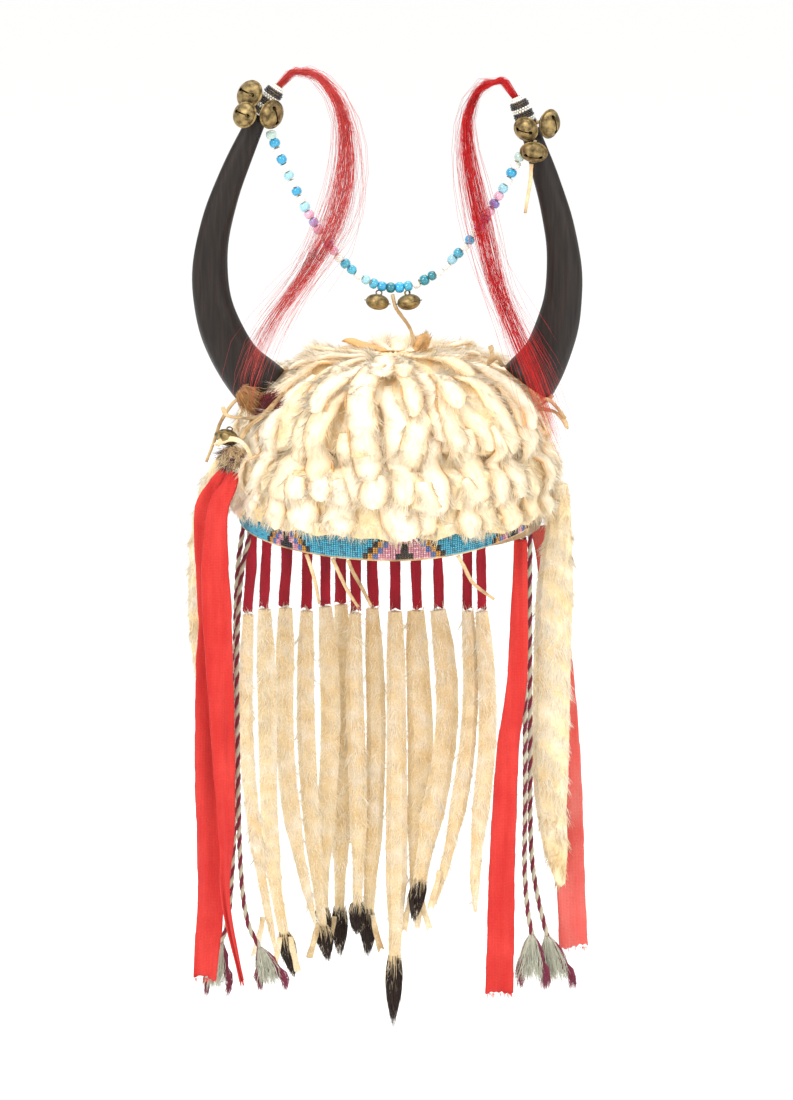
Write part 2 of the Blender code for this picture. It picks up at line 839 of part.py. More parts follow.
def build_streamers():
    """Red cloth streamers, two on each side."""
    wide = metres(
        [
            RoutePoint(-106, -46, 42.7),
            RoutePoint(-112.5, -46, 32),
            RoutePoint(-118.5, -46, 14),
            RoutePoint(-118, -46, -22),
            RoutePoint(-116, -46, -70),
            RoutePoint(-116.5, -46, -120),
            RoutePoint(-117, -46, -165),
            RoutePoint(-119.5, -46, -210),
            RoutePoint(-119.5, -46, -245),
            RoutePoint(-123.5, -46, -295),
        ]
    )
    strip(
        "streamer_left_wide", smooth_route(wide, 12), lambda s: 0.001 * bar_profile(
            s,
            (0, 4),
            (0.08, 8.5),
            (0.3, 9),
            (0.38, 11.5),
            (0.62, 11.5),
            (0.74, 8.6),
            (0.9, 8.6),
            (1, 7.2),
        ),
        CLOTH_THICK, CLOTH, curl=0.10,
    )
    slim = metres(
        [
            RoutePoint(-101.8, -48.8, 42.2),
            RoutePoint(-105, -55, 33),
            RoutePoint(-111.5, -57, 20),
            RoutePoint(-113.5, -58, -12),
            RoutePoint(-112.5, -58, -45),
            RoutePoint(-110.5, -58, -108),
            RoutePoint(-109.5, -58, -148),
            RoutePoint(-108, -58, -195),
            RoutePoint(-108.5, -58, -241),
            RoutePoint(-99, -58, -293),
        ]
    )
    strip(
        "streamer_left_slim", smooth_route(slim, 12), lambda s: 0.001 * bar_profile(
            s,
            (0, 4),
            (0.07, 6.5),
            (0.17, 8.4),
            (0.26, 9),
            (0.45, 7.8),
            (0.57, 7),
            (0.70, 5.6),
            (0.76, 3.8),
            (0.85, 2.3),
            (1, 1.2),
        ),
        CLOTH_THICK, CLOTH, curl=0.12,
    )
    front = hung(
        rim_seat(-33, 0.001),
        [
            RoutePoint(0, 0, -28),
            RoutePoint(-2, 0, -92),
            RoutePoint(-7, 0, -134),
            RoutePoint(-9, 0, -178),
            RoutePoint(-11, 0, -230),
            RoutePoint(-12, 0, -302),
        ],
    )
    strip(
        "streamer_right_front", smooth_route(front, 12), lambda s: 0.001 * bar_profile(
            s,
            (0, 4),
            (0.3, 6.5),
            (0.6, 8),
            (1, 9),
        ),
        CLOTH_THICK, CLOTH, curl=0.12,
    )
    rear = hung(
        rim_seat(-7),
        [
            RoutePoint(6, 0, -28),
            RoutePoint(15, 0, -103),
            RoutePoint(19, 0, -157),
            RoutePoint(22, 0, -218),
            RoutePoint(25, 0, -284),
        ],
    )
    strip(
        "streamer_right_rear", smooth_route(rear, 11), lambda s: 0.001 * bar_profile(
            s,
            (0, 6),
            (0.3, 9),
            (1, 9.5),
        ),
        CLOTH_THICK, CLOTH, curl=0.08,
    )


def build_skins():
    """The two long side skins with their soft fur."""
    right = metres(
        [
            RoutePoint(106.4, -30, 31),
            RoutePoint(106.4, -30, 15),
            RoutePoint(104, -30, -25),
            RoutePoint(102, -30, -90),
            RoutePoint(102, -30, -176),
            RoutePoint(106, -30, -215),
            RoutePoint(109, -30, -236),
        ]
    )
    tube(
        "fur_skin_right", smooth_route(right, 12), lambda s: 0.001 * bar_profile(
            s,
            (0, 5),
            (0.1, 8),
            (0.25, 12),
            (0.7, 12),
            (0.85, 9),
            (0.95, 7),
            (1, 3),
        ),
        lambda s: SKIN_THICK / 2 * bar_profile(
            s,
            (0, 0.5),
            (0.15, 1),
            (0.8, 0.9),
            (1, 0.35),
        ), SKIN_FUR, sides=8, tip=0.002,
    )
    left = metres(
        [
            RoutePoint(-108, -2, 44),
            RoutePoint(-117, -2, 24),
            RoutePoint(-124, -2, -20),
            RoutePoint(-124, -2, -80),
            RoutePoint(-122, -2, -128),
        ]
    )
    tube(
        "fur_skin_left", smooth_route(left, 9), lambda s: 0.001 * bar_profile(
            s,
            (0, 5),
            (0.15, 9),
            (0.7, 9.5),
            (0.9, 6),
            (1, 2.5),
        ),
        lambda s: SKIN_THICK / 2 * bar_profile(
            s,
            (0, 0.5),
            (0.15, 1),
            (0.8, 0.9),
            (1, 0.35),
        ), SKIN_FUR, sides=8, tip=0.002,
    )


def build_cord(name, ends, thickness, finish):
    """A cord as a round tube along a smooth line through its points."""
    run = sum((b - a).length for a, b in zip(ends, ends[1:]))
    count = int(min(80, max(6, run / (3.0 * thickness))))
    curve = bpy.data.curves.new(name, "CURVE")
    curve.dimensions = "3D"
    curve.bevel_depth = thickness / 2
    curve.bevel_resolution = 2
    curve.use_fill_caps = True
    line = curve.splines.new("POLY")
    route = smooth_route(ends, count)
    line.points.add(len(route) - 1)
    for point, place in zip(line.points, route):
        point.co = (*place, 1.0)
    curve.materials.append(material_of(finish))
    cord = bpy.data.objects.new(name, curve)
    bpy.context.scene.collection.objects.link(cord)


class CordPlan(NamedTuple):
    """A cord that hangs from its seat: steps of across, back and up from there, in millimetres."""

    name: str
    seat: Vector
    steps: tuple


WOOL_CORDS = (
    CordPlan(
        "yarn_left_outer",
        band_seat(-172),
        ((-4, 0, -30), (-6, 0, -80), (-6, 0, -150), (-8, 0, -210), (-12, 0, -262), (-17, 0, -281)),
    ),
    CordPlan(
        "yarn_left_inner",
        band_seat(-160),
        ((-6, 0, -30), (-9, 0, -80), (-9, 0, -150), (-8, 0, -220), (-4, 0, -258), (4, 0, -277)),
    ),
    CordPlan(
        "yarn_right_outer",
        rim_seat(-23),
        ((0, 0, -40), (1, 0, -140), (2, 0, -205), (6, 0, -238), (13, 0, -268)),
    ),
    CordPlan(
        "yarn_right_inner",
        rim_seat(-29),
        ((1, 0, -60), (2, 0, -170), (2, 0, -218), (4, 0, -246), (7, 0, -264)),
    ),
)
HIDE_THONGS = (
    CordPlan("thong_front_left", band_seat(-124), ((3, 0.5, -9), (6, 0.5, -21), (8, 0.5, -32))),
    CordPlan("thong_front_middle", band_seat(-113), ((4, 0, -9), (9, 0, -20), (16, 0, -31))),
    CordPlan("thong_front_inner", band_seat(-107), ((3.5, -0.8, -8), (8.5, -1.6, -17), (14.5, -2, -29))),
    CordPlan("thong_front_right", band_seat(-66), ((4, 0, -7), (10, 0, -18), (23, 0, -28))),
)
LOOSE_THONGS = (
    CordPlan(
        "thong_centre",
        Vector((-0.001, -0.0160, 0.1508)),
        ((2, 0.5, -8), (5.5, 3.5, -14), (11, 10, -23), (13, 13, -30), (12.6, 13.2, -35)),
    ),
    CordPlan(
        "thong_side_left",
        Vector((-0.0966, -0.0300, 0.0880)),
        ((-7, -4, -6), (-14, -6, -17), (-18, -6, -29), (-23, -6, -42)),
    ),
    CordPlan(
        "thong_bell_right",
        Vector((0.0862, -0.0366, 0.2361)),
        ((-0.5, 0, -9), (-2, 0, -19), (-3.7, 0, -31)),
    ),
    CordPlan(
        "thong_side_right",
        Vector((0.0924, -0.0279, 0.0843)),
        ((6, -2, 1), (12, -2, -5), (17, -2, -11)),
    ),
)


def build_cords():
    """Twisted wool cords at both sides and hide thongs."""
    for plan in WOOL_CORDS:
        build_cord(
            plan.name,
            hung(plan.seat, [RoutePoint(*step) for step in plan.steps]),
            YARN_ROUND,
            WOOL,
        )
    for plan in HIDE_THONGS + LOOSE_THONGS:
        build_cord(
            plan.name,
            hung(plan.seat, [RoutePoint(*step) for step in plan.steps]),
            THONG_ROUND,
            HIDE,
        )


class TasselPlan(NamedTuple):
    """A wool tassel at the foot of a cord: its reach across and down in millimetres and its width share."""

    name: str
    cord: int
    across: float
    down: float
    width: float


TASSELS = (
    TasselPlan("tassel_left_outer", 0, -5, 32, 1.0),
    TasselPlan("tassel_left_inner", 1, 6, 25, 1.15),
    TasselPlan("tassel_right_outer", 2, 5, 32, 1.25),
    TasselPlan("tassel_right_inner", 3, -2, 32, 1.15),
)


def build_tassels():
    """Wool tassels: a round head that opens into a few locks."""
    for plan in TASSELS:
        cord = WOOL_CORDS[plan.cord]
        end = cord.seat + Vector(cord.steps[-1]) * 0.001
        along = (Vector(cord.steps[-1]) - Vector(cord.steps[-2])).normalized()
        head = end + along * (GAP + 0.0010)
        foot = head + Vector((plan.across, 0, -plan.down)) * 0.001
        route = smooth_route([head, head + along * 0.006, head.lerp(foot, 0.65), foot], 7)
        half = TASSEL_WIDE / 2 * plan.width
        tube(
            plan.name, route, lambda s: half * bar_profile(
                s,
                (0, 0.25),
                (0.2, 0.6),
                (0.6, 1.0),
                (1, 0.6),
            ),
            lambda s: half * bar_profile(
                s,
                (0, 0.2),
                (0.2, 0.45),
                (0.6, 0.65),
                (1, 0.4),
            ), TASSEL, sides=8, lobes=4, lobe_depth=0.18, tip=0.001,
        )


def build_left_tie():
    """The knot of hide and wool that holds the left streamers under their bell."""
    route = metres(
        [
            RoutePoint(-104.5, -44.5, 57),
            RoutePoint(-103.5, -45, 53),
            RoutePoint(-102.5, -45.5, 49),
            RoutePoint(-102.5, -46.5, 43.5),
        ]
    )
    tube(
        "tie_knot_left", smooth_route(route, 6), lambda s: 0.001 * bar_profile(
            s,
            (0, 4.5),
            (0.4, 8),
            (0.8, 7),
            (1, 4),
        ),
        lambda s: 0.001 * bar_profile(
            s,
            (0, 3),
            (0.5, 4.0),
            (1, 2.5),
        ), HIDE, sides=10, lobes=5, lobe_depth=0.08, tip=0.0005,
    )


def build_crown_tuft():
    """The small fur tuft at the middle of the crown, where the centre thong ends."""
    route = metres(
        [
            RoutePoint(14.5, 2, 113),
            RoutePoint(16.5, 1, 115.5),
            RoutePoint(19, 1, 118.5),
            RoutePoint(22, 2, 121.5),
        ]
    )
    tube(
        "fur_tuft_crown", smooth_route(route, 6), lambda s: 0.001 * bar_profile(
            s,
            (0, 4.5),
            (0.5, 5),
            (1, 2.5),
        ),
        lambda s: 0.001 * bar_profile(
            s,
            (0, 4),
            (0.5, 4.4),
            (1, 2),
        ), FUR, sides=8, lobes=4, lobe_depth=0.1, tip=0.001,
    )


def main():
    """Builds the bonnet from the cap outwards."""
    for leftover in list(bpy.data.objects):
        bpy.data.objects.remove(leftover, do_unlink=True)
    build_cap()
    build_band()
    for tier in TIERS:
        build_tier(tier)
    build_crown_tuft()
    for plan, rows in zip(HORNS, (LEFT_PLUME, RIGHT_PLUME)):
        build_horn(plan)
        top, lean = build_wrap(plan)
        build_plume(plan, top + lean * (0.8 * PLUME_TIP + GAP), rows)
    for bell in BELLS:
        build_bell(bell)
    build_string()
    build_fringe()
    build_drops()
    build_streamers()
    build_skins()
    build_cords()
    build_tassels()
    build_left_tie()


main()
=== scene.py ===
"""A horned war bonnet: fur, beadwork, horns, bells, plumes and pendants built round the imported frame."""

import logging
import math
from dataclasses import dataclass, field
from enum import Enum
from typing import Callable, Sequence

import bmesh
import bpy
import numpy as np
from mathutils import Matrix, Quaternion, Vector
from mathutils.bvhtree import BVHTree


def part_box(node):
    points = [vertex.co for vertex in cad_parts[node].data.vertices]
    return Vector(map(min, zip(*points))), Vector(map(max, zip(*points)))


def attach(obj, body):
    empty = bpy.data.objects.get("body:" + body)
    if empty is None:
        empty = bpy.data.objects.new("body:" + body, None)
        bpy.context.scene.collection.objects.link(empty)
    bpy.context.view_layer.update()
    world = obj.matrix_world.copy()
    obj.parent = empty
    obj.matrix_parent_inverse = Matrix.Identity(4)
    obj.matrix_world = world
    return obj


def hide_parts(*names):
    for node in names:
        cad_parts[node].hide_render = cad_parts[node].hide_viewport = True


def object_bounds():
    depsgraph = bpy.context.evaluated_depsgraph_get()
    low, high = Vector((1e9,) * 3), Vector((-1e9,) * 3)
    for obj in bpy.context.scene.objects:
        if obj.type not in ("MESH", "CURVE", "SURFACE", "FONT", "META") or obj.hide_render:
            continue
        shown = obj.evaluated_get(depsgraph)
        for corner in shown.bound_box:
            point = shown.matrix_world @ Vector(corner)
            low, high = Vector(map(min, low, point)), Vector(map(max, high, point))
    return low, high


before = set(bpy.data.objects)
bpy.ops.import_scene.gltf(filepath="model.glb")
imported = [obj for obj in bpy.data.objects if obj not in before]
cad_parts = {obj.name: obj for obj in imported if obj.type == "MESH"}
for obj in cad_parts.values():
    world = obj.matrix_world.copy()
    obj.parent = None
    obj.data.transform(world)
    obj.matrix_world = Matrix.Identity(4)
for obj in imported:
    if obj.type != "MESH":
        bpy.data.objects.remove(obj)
CAD_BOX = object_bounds()

LOG = logging.getLogger("war_bonnet")
MM = 0.001

# The cap's own sizes, as in the part.
CAP_HALF_WIDTH = 0.096
CAP_HALF_DEPTH = 0.101
CAP_HEIGHT = 0.104
BAND_TALL = 0.022
BAND_DIP = 0.005
BAND_RISE_RIGHT = 0.009
BAND_FACE = 0.0035
HORN_FORWARD = 0.020
HORN_DRIFT = 0.004
HORN_BASE_WIDE = 0.036
HORN_FLATNESS = 0.72
BELL_ROUND = 0.0155
BELL_FLAT = 0.70
BEAD_ROUND = 0.0067
STRING_SAG_LEVEL = 0.155
TAB_LENGTH = 0.078
TAB_WIDE = 0.0066
TAB_THICK = 0.0016
YARN_ROUND = 0.0036
THONG_ROUND = 0.0024
SHORTEST_CORD = 0.030
SEED_ROUND = 0.00150
SEED_LONG = 0.00128
YARN_TWIST = 0.0135
FRINGE_HALF_WIDTH = 0.0945
FRINGE_HALF_DEPTH = 0.0995
FRINGE_LEVEL = -0.0055
LEAST_SHEET_WIDTH = 0.010

Points = np.ndarray

# A seed bead's outline about its hole: (radius, height) as shares of its half-width and length.
SEED_PROFILE = ((0, -0.40), (0.55, -0.48), (1.0, -0.24), (1.0, 0.24), (0.55, 0.48), (0, 0.40))


def linear(code: str) -> tuple[float, float, float, float]:
    """Turns a colour's sRGB code into linear light.

    Args:
        code: the colour as "#rrggbb".

    Returns:
        Red, green, blue and alpha.
    """
    parts = [int(code[i : i + 2], 16) / 255 for i in (1, 3, 5)]
    light = [c / 12.92 if c <= 0.04045 else ((c + 0.055) / 1.055) ** 2.4 for c in parts]
    return light[0], light[1], light[2], 1.0


def wobble(index: float, share: float = 0.0) -> float:
    """A fixed uneven number between -1 and 1."""
    first = math.sin(index * 12.9898 + share * 78.233 + 1.3) * 0.62
    return first + math.sin(index * 4.137 + share * 9.1) * 0.38


def ripple(points: Points, length: float, seed: int) -> Points:
    """A smooth uneven vector for each point, each part between about -1 and 1.

    Args:
        points: n by 3 places in metres.
        length: the size of the unevenness in metres.
        seed: which of many patterns.

    Returns:
        n by 3 numbers.
    """
    rng = np.random.default_rng(seed)
    found = np.zeros_like(points)
    for octave in (1.0, 1.9, 3.1):
        ways = rng.normal(size=(3, 3))
        ways /= np.linalg.norm(ways, axis=1)[:, None]
        phase = rng.uniform(0, 2 * math.pi, 3)
        found += np.sin(points @ ways.T * (2 * math.pi * octave / length) + phase) / octave
    return found / 1.6


def smooth_line(rows: Sequence, count: int) -> Points:
    """Even steps along a smooth curve through a few route points.

    Args:
        rows: the route's points in metres.
        count: how many places to return.

    Returns:
        count by 3 places.
    """
    rows = np.array([tuple(r) for r in rows], float)
    padded = np.vstack([2 * rows[0] - rows[1], rows, 2 * rows[-1] - rows[-2]])
    dense = []
    steps = np.linspace(0, 1, 16, endpoint=False)[:, None]
    for a, b, c, d in zip(padded[:-3], padded[1:-2], padded[2:-1], padded[3:]):
        part = 2 * b + (c - a) * steps + (2 * a - 5 * b + 4 * c - d) * steps**2
        dense.append(0.5 * (part + (3 * b - a - 3 * c + d) * steps**3))
    line = np.vstack([*dense, rows[-1:]])
    run = np.concatenate([[0], np.cumsum(np.linalg.norm(np.diff(line, axis=0), axis=1))])
    at = np.linspace(0, run[-1], count)
    return np.column_stack([np.interp(at, run, line[:, k]) for k in range(3)])


def unit(rows: Points) -> Points:
    """The rows with length one."""
    return rows / np.maximum(np.linalg.norm(rows, axis=-1, keepdims=True), 1e-9)


def length_of(line: Points) -> float:
    """The length of a line through its points, in metres."""
    return float(np.linalg.norm(np.diff(line, axis=0), axis=1).sum())


def tube_faces(rows: int, sides: int) -> list[tuple[int, int, int]]:
    """The triangles between the rings of a tube, as point numbers.

    Args:
        rows: how many spans between rings.
        sides: how many points a ring has.

    Returns:
        Two triangles for each side of each span.
    """
    faces = []
    for row in range(rows):
        for k in range(sides):
            a, b = row * sides + k, row * sides + (k + 1) % sides
            faces += [(a, b, b + sides), (a, b + sides, a + sides)]
    return faces


def dome_profile(share: float) -> tuple[float, float]:
    """Radius and height shares of the cap's outer line, from the crown (0) to the rim (1)."""
    turn = max(share, 0.0) * math.pi / 2
    return math.sin(turn) ** 0.80, max(math.cos(turn), 0.0) ** 0.76


def dome_point(share: float, turn: float, offset: float = 0.0) -> Vector:
    """A point over the cap: turn 0 is the right side and 90 degrees is the rear.

    Args:
        share: how far from the crown (0) to the rim (1).
        turn: the angle about the upright axis, in radians.
        offset: how far outside the cap, in metres.

    Returns:
        The place in the row frame.
    """
    r, z = dome_profile(share)
    out, up = math.sin(share * math.pi / 2), math.cos(share * math.pi / 2)
    return Vector(
        (
            (CAP_HALF_WIDTH * r + offset * out) * math.cos(turn),
            (CAP_HALF_DEPTH * r + offset * out) * math.sin(turn),
            CAP_HEIGHT * z + offset * up,
        )
    )


class Paint(Enum):
    """Colours read from the photograph's materials, as sRGB codes."""

    CREAM_FUR = "#f6ead3"
    WARM_FUR = "#edd6a9"
    GOLD_FUR = "#e2c48e"
    TAN_FUR = "#cda468"
    BLACK_FUR = "#291c16"
    SKIN = "#d7a668"
    HIDE = "#c3a272"
    DARK_HIDE = "#8a6a43"
    HORN = "#130e0c"
    HORN_STREAK = "#2c211a"
    RED_CLOTH = "#d4231c"
    RED_CLOTH_WORN = "#e63c32"
    THIN_RED_CLOTH = "#ee5a50"
    THIN_RED_WORN = "#f27b70"
    STROUD = "#b5112b"
    STROUD_DARK = "#8b0c20"
    SELVEDGE = "#c9a6a0"
    BRASS = "#a18a5c"
    BRASS_DARK = "#54452b"
    TURQUOISE = "#3fa9c4"
    DEEP_TURQUOISE = "#1f7f9e"
    BLACK_BEAD = "#15151f"
    GOLD_BEAD = "#c8892a"
    BLUE_BEAD = "#4f6fae"
    PINK_BEAD = "#cf8a9b"
    PALE_PINK_BEAD = "#e4b3ba"
    WHITE_BEAD = "#efeee6"
    SKY_BEAD = "#9fd4e4"
    COBALT_BEAD = "#27a3cf"
    TEAL_BEAD = "#12808f"
    PURPLE_BEAD = "#7566ab"
    LAVENDER_BEAD = "#a99ad0"
    ROSE_BEAD = "#d9a9bd"
    CLEAR_BEAD = "#b9cfc4"
    FADED_HAIR = "#d24b47"
    RED_HAIR = "#cf1f22"
    MAROON_WOOL = "#7a2d3b"
    GREY_WOOL = "#bfb69d"
    PALE_WOOL = "#cfcfba"
    ROSE_WOOL = "#93324f"
    HAIR_PATCH = "#b98650"
    PLUM_WOOL = "#5d3442"
    DARK_RED_WOOL = "#7d1f25"
    FLOOR = "#fafaf9"

    @property
    def light(self) -> tuple[float, float, float, float]:
        """The colour in linear light."""
        return linear(self.value)


def shade(paint: Paint) -> Points:
    """The paint's linear red, green and blue."""
    return np.array(paint.light[:3])


def warmed(warmth: float | Points) -> Points:
    """Cream fur warmed towards gold by a share from 0 to 1."""
    return shade(Paint.CREAM_FUR) * (1 - warmth) + shade(Paint.WARM_FUR) * warmth


class Graph:
    """A material's node tree, with one way to add and join its nodes."""

    def __init__(self, name: str) -> None:
        """Starts a material of this name."""
        self.material = bpy.data.materials.new(name)
        self.material.use_nodes = True
        self.tree = self.material.node_tree
        self.shader = self.tree.nodes["Principled BSDF"]

    def add(self, kind: str, inputs: dict | None = None, **settings: object) -> bpy.types.Node:
        """Adds a node.

        Args:
            kind: the node's type without its ShaderNode prefix.
            inputs: values or sockets for the node's inputs, by name or number.
            settings: the node's own properties.

        Returns:
            The new node.
        """
        node = self.tree.nodes.new("ShaderNode" + kind)
        for key, value in settings.items():
            setattr(node, key, value)
        self.fill(node, inputs or {})
        return node

    def fill(self, node: bpy.types.Node, inputs: dict) -> None:
        """Sets a node's inputs: a socket is linked and a value is set.

        Args:
            node: the node.
            inputs: values or sockets, by name or number.
        """
        for key, value in inputs.items():
            socket = node.inputs[key]
            if isinstance(value, bpy.types.NodeSocket):
                self.tree.links.new(value, socket)
            else:
                socket.default_value = value

    def place(self) -> bpy.types.NodeSocket:
        """Object coordinates, in metres."""
        return self.add("TexCoord").outputs["Object"]

    def stretched(self, x: float, y: float, z: float) -> bpy.types.NodeSocket:
        """Object coordinates scaled along each axis."""
        mapped = self.add("Mapping", {"Vector": self.place(), "Scale": (x, y, z)})
        return mapped.outputs["Vector"]

    def noise(self, vector: bpy.types.NodeSocket, scale: float, detail: float = 4.0) -> bpy.types.NodeSocket:
        """Fractal noise between 0 and 1."""
        made = self.add("TexNoise", {"Vector": vector, "Scale": scale, "Detail": detail})
        return made.outputs["Fac"]

    def ramp(self, value: bpy.types.NodeSocket, *stops: tuple[float, tuple]) -> bpy.types.NodeSocket:
        """A colour ramp through (place, colour) stops.

        Args:
            value: what picks the colour.
            stops: the places from 0 to 1 with their colours.

        Returns:
            The colour's socket.
        """
        made = self.add("ValToRGB", {"Fac": value})
        band = made.color_ramp
        band.elements[0].position, band.elements[0].color = stops[0]
        band.elements[1].position, band.elements[1].color = stops[-1]
        for at, colour in stops[1:-1]:
            band.elements.new(at).color = colour
        return made.outputs["Color"]

    def grey(self, value: bpy.types.NodeSocket, low: float, high: float) -> bpy.types.NodeSocket:
        """The value spread from low to high."""
        made = self.add("MapRange", {"Value": value, "To Min": low, "To Max": high})
        return made.outputs["Result"]

    def mix(self, share: object, first: object, second: object, how: str = "MIX") -> bpy.types.NodeSocket:
        """One colour over another by a share.

        Args:
            share: how much of the second.
            first: the colour below.
            second: the colour above.
            how: the way that they blend.

        Returns:
            The colour's socket.
        """
        made = self.add("Mix", data_type="RGBA", blend_type=how)
        self.fill(made, {0: share, 6: first, 7: second})
        return made.outputs[2]

    def times(self, first: object, second: object, how: str = "MULTIPLY") -> bpy.types.NodeSocket:
        """Two values joined by a sum or a product."""
        return self.add("Math", {0: first, 1: second}, operation=how).outputs[0]

    def bump(self, height: bpy.types.NodeSocket, depth: float, strength: float = 1.0) -> None:
        """Gives the shader a relief of this depth in metres."""
        made = self.add("Bump", {"Height": height, "Distance": depth, "Strength": strength})
        self.fill(self.shader, {"Normal": made.outputs["Normal"]})

    def surface(self, **inputs: object) -> bpy.types.Material:
        """Sets the shader's own sockets, with _ for a space, and gives back the material."""
        self.fill(self.shader, {key.replace("_", " "): value for key, value in inputs.items()})
        return self.material


@dataclass(frozen=True)
class TintedFinish:
    """A material whose colour lies in the mesh's own tint, such as hair, wool or glass seed beads.

    Attributes:
        name: the real material.
        roughness: how dull it is.
        sheen: the soft light at its edges.
        coat: a glassy layer.
        speckle: how much a fine noise darkens it.
        speckle_mm: the size of that noise.
        glow: how far light spreads inside it.
        inner: the strength of a painted glow in its own tint, which lifts its shadows.
        gloss: the strength of its mirror light.
    """

    name: str
    roughness: float
    sheen: float = 0.0
    coat: float = 0.0
    speckle: float = 0.2
    speckle_mm: float = 1.5
    glow: float = 0.0
    inner: float = 0.0
    gloss: float = 0.5

    def build(self) -> bpy.types.Material:
        """Makes the material.

        Returns:
            The material.
        """
        graph = Graph(self.name)
        tint = graph.add("Attribute", attribute_name="tint").outputs["Color"]
        grain = graph.noise(graph.place(), 1000 / self.speckle_mm)
        low = (1 - self.speckle,) * 3 + (1,)
        worn = graph.mix(1.0, tint, graph.ramp(grain, (0.3, low), (0.7, (1, 1, 1, 1))), "MULTIPLY")
        return graph.surface(
            Base_Color=worn,
            Roughness=graph.grey(grain, self.roughness * 0.85, self.roughness * 1.1),
            Sheen_Weight=self.sheen,
            Coat_Weight=self.coat,
            Coat_Roughness=0.08,
            Specular_IOR_Level=self.gloss,
            # The emission is a painted glow in the tint, which lifts the shadows.
            Emission_Color=worn,
            Emission_Strength=self.inner,
            Subsurface_Weight=self.glow,
            Subsurface_Radius=(0.004, 0.003, 0.002),
            Subsurface_Scale=0.6,
        )


@dataclass(frozen=True)
class HideFinish:
    """Soft tanned hide: blotched, with darker worn places and a fine crinkle whose hollows are painted darker,
    as painted shade.
    """

    name: str
    main: Paint
    worn: Paint
    pale: Paint = Paint.CREAM_FUR

    def build(self) -> bpy.types.Material:
        """Makes the material.

        Returns:
            The material.
        """
        graph = Graph(self.name)
        blotch = graph.noise(graph.place(), 70, 6)
        crinkle = graph.noise(graph.place(), 900, 3)
        colour = graph.ramp(blotch, (0.32, self.worn.light), (0.5, self.main.light), (0.74, self.pale.light))
        # The crinkle's hollows, which the bump sinks, are painted darker: painted shade.
        creases = graph.ramp(crinkle, (0.3, (0.6, 0.55, 0.5, 1)), (0.6, (1, 1, 1, 1)))
        shaded = graph.mix(0.5, colour, creases, "MULTIPLY")
        graph.bump(crinkle, 0.0003, 0.6)
        return graph.surface(Base_Color=shaded, Roughness=graph.grey(blotch, 0.62, 0.9), Sheen_Weight=0.25)


@dataclass(frozen=True)
class HornFinish:
    """Near-black horn: a satin polish with faint lengthwise grain, scuffs and dust."""

    name: str = "polished_black_horn"

    def build(self) -> bpy.types.Material:
        """Makes the material.

        Returns:
            The material.
        """
        graph = Graph(self.name)
        grain = graph.noise(graph.stretched(1, 1, 0.06), 520, 8)
        cloud = graph.noise(graph.stretched(1, 1, 0.35), 46, 5)
        scuff = graph.noise(graph.stretched(1, 1, 0.22), 210, 7)
        base = graph.ramp(grain, (0.34, Paint.HORN.light), (0.78, Paint.HORN_STREAK.light))
        dust = graph.ramp(graph.times(cloud, scuff), (0.26, (0, 0, 0, 1)), (0.44, (1, 1, 1, 1)))
        colour = graph.mix(graph.times(dust, 0.22), base, Paint.HORN_STREAK.light)
        graph.bump(graph.times(grain, scuff, "ADD"), 0.00025, 0.5)
        return graph.surface(
            Base_Color=colour, Roughness=graph.grey(scuff, 0.34, 0.58), Specular_IOR_Level=0.28
        )


@dataclass(frozen=True)
class ClothFinish:
    """Woven cloth: threads both ways, faded patches, lengthwise streaks of painted fold shade and a soft nap.

    Attributes:
        name: the real material.
        main: its colour.
        faded: its colour where light and wear have taken it, also shown between the lengthwise streaks of
            painted fold shade.
        thread_mm: the distance between threads.
        nap: the sheen of its raised fibres.
        felted: how much the threads are hidden by the nap.
    """

    name: str
    main: Paint
    faded: Paint
    thread_mm: float
    nap: float
    felted: float

    def build(self) -> bpy.types.Material:
        """Makes the material.

        Returns:
            The material.
        """
        graph = Graph(self.name)
        where = graph.place()
        bands = []
        for way in ("X", "Z"):
            inputs = {
                "Vector": where,
                "Scale": 1000 / self.thread_mm / 6.283,
                "Distortion": 1.2,
                "Detail": 2.0,
                "Detail Scale": 2.0,
            }
            wave = graph.add("TexWave", inputs, wave_type="BANDS", bands_direction=way)
            bands.append(wave.outputs["Fac"])
        weave = graph.times(bands[0], bands[1])
        fuzz = graph.noise(where, 1400, 3)
        patch = graph.noise(where, 38, 6)
        # Lengthwise streaks stand in for the shade of the cloth's folds: painted shade, mixed with the round
        # faded patches.
        fold_shade_streak = graph.noise(graph.stretched(1, 1, 0.12), 160, 4)
        faded = graph.ramp(graph.times(patch, fold_shade_streak), (0.16, self.main.light), (0.42, self.faded.light))
        threads = graph.mix(
            (1 - self.felted) * 0.55,
            faded,
            graph.ramp(weave, (0.05, (0.35, 0.35, 0.35, 1)), (0.55, (1, 1, 1, 1))),
            "MULTIPLY",
        )
        nap = graph.ramp(fuzz, (0.3, (0.5, 0.5, 0.5, 1)), (0.65, (1, 1, 1, 1)))
        colour = graph.mix(0.35, threads, nap, "MULTIPLY")
        graph.bump(graph.times(weave, fuzz, "ADD"), 0.00022, 0.8)
        return graph.surface(Base_Color=colour, Roughness=0.88, Sheen_Weight=self.nap, Sheen_Roughness=0.5)


@dataclass(frozen=True)
class BrassFinish:
    """Old brass: dark brown patina with rubbed brighter metal."""

    name: str = "aged_brass"

    def build(self) -> bpy.types.Material:
        """Makes the material.

        Returns:
            The material.
        """
        graph = Graph(self.name)
        patina = graph.noise(graph.place(), 260, 6)
        pits = graph.noise(graph.place(), 1900, 3)
        colour = graph.ramp(patina, (0.36, Paint.BRASS_DARK.light), (0.62, Paint.BRASS.light))
        graph.bump(pits, 0.00012, 0.5)
        return graph.surface(
            Base_Color=colour,
            Metallic=graph.grey(patina, 0.7, 1.0),
            Roughness=graph.grey(patina, 0.6, 0.38),
        )


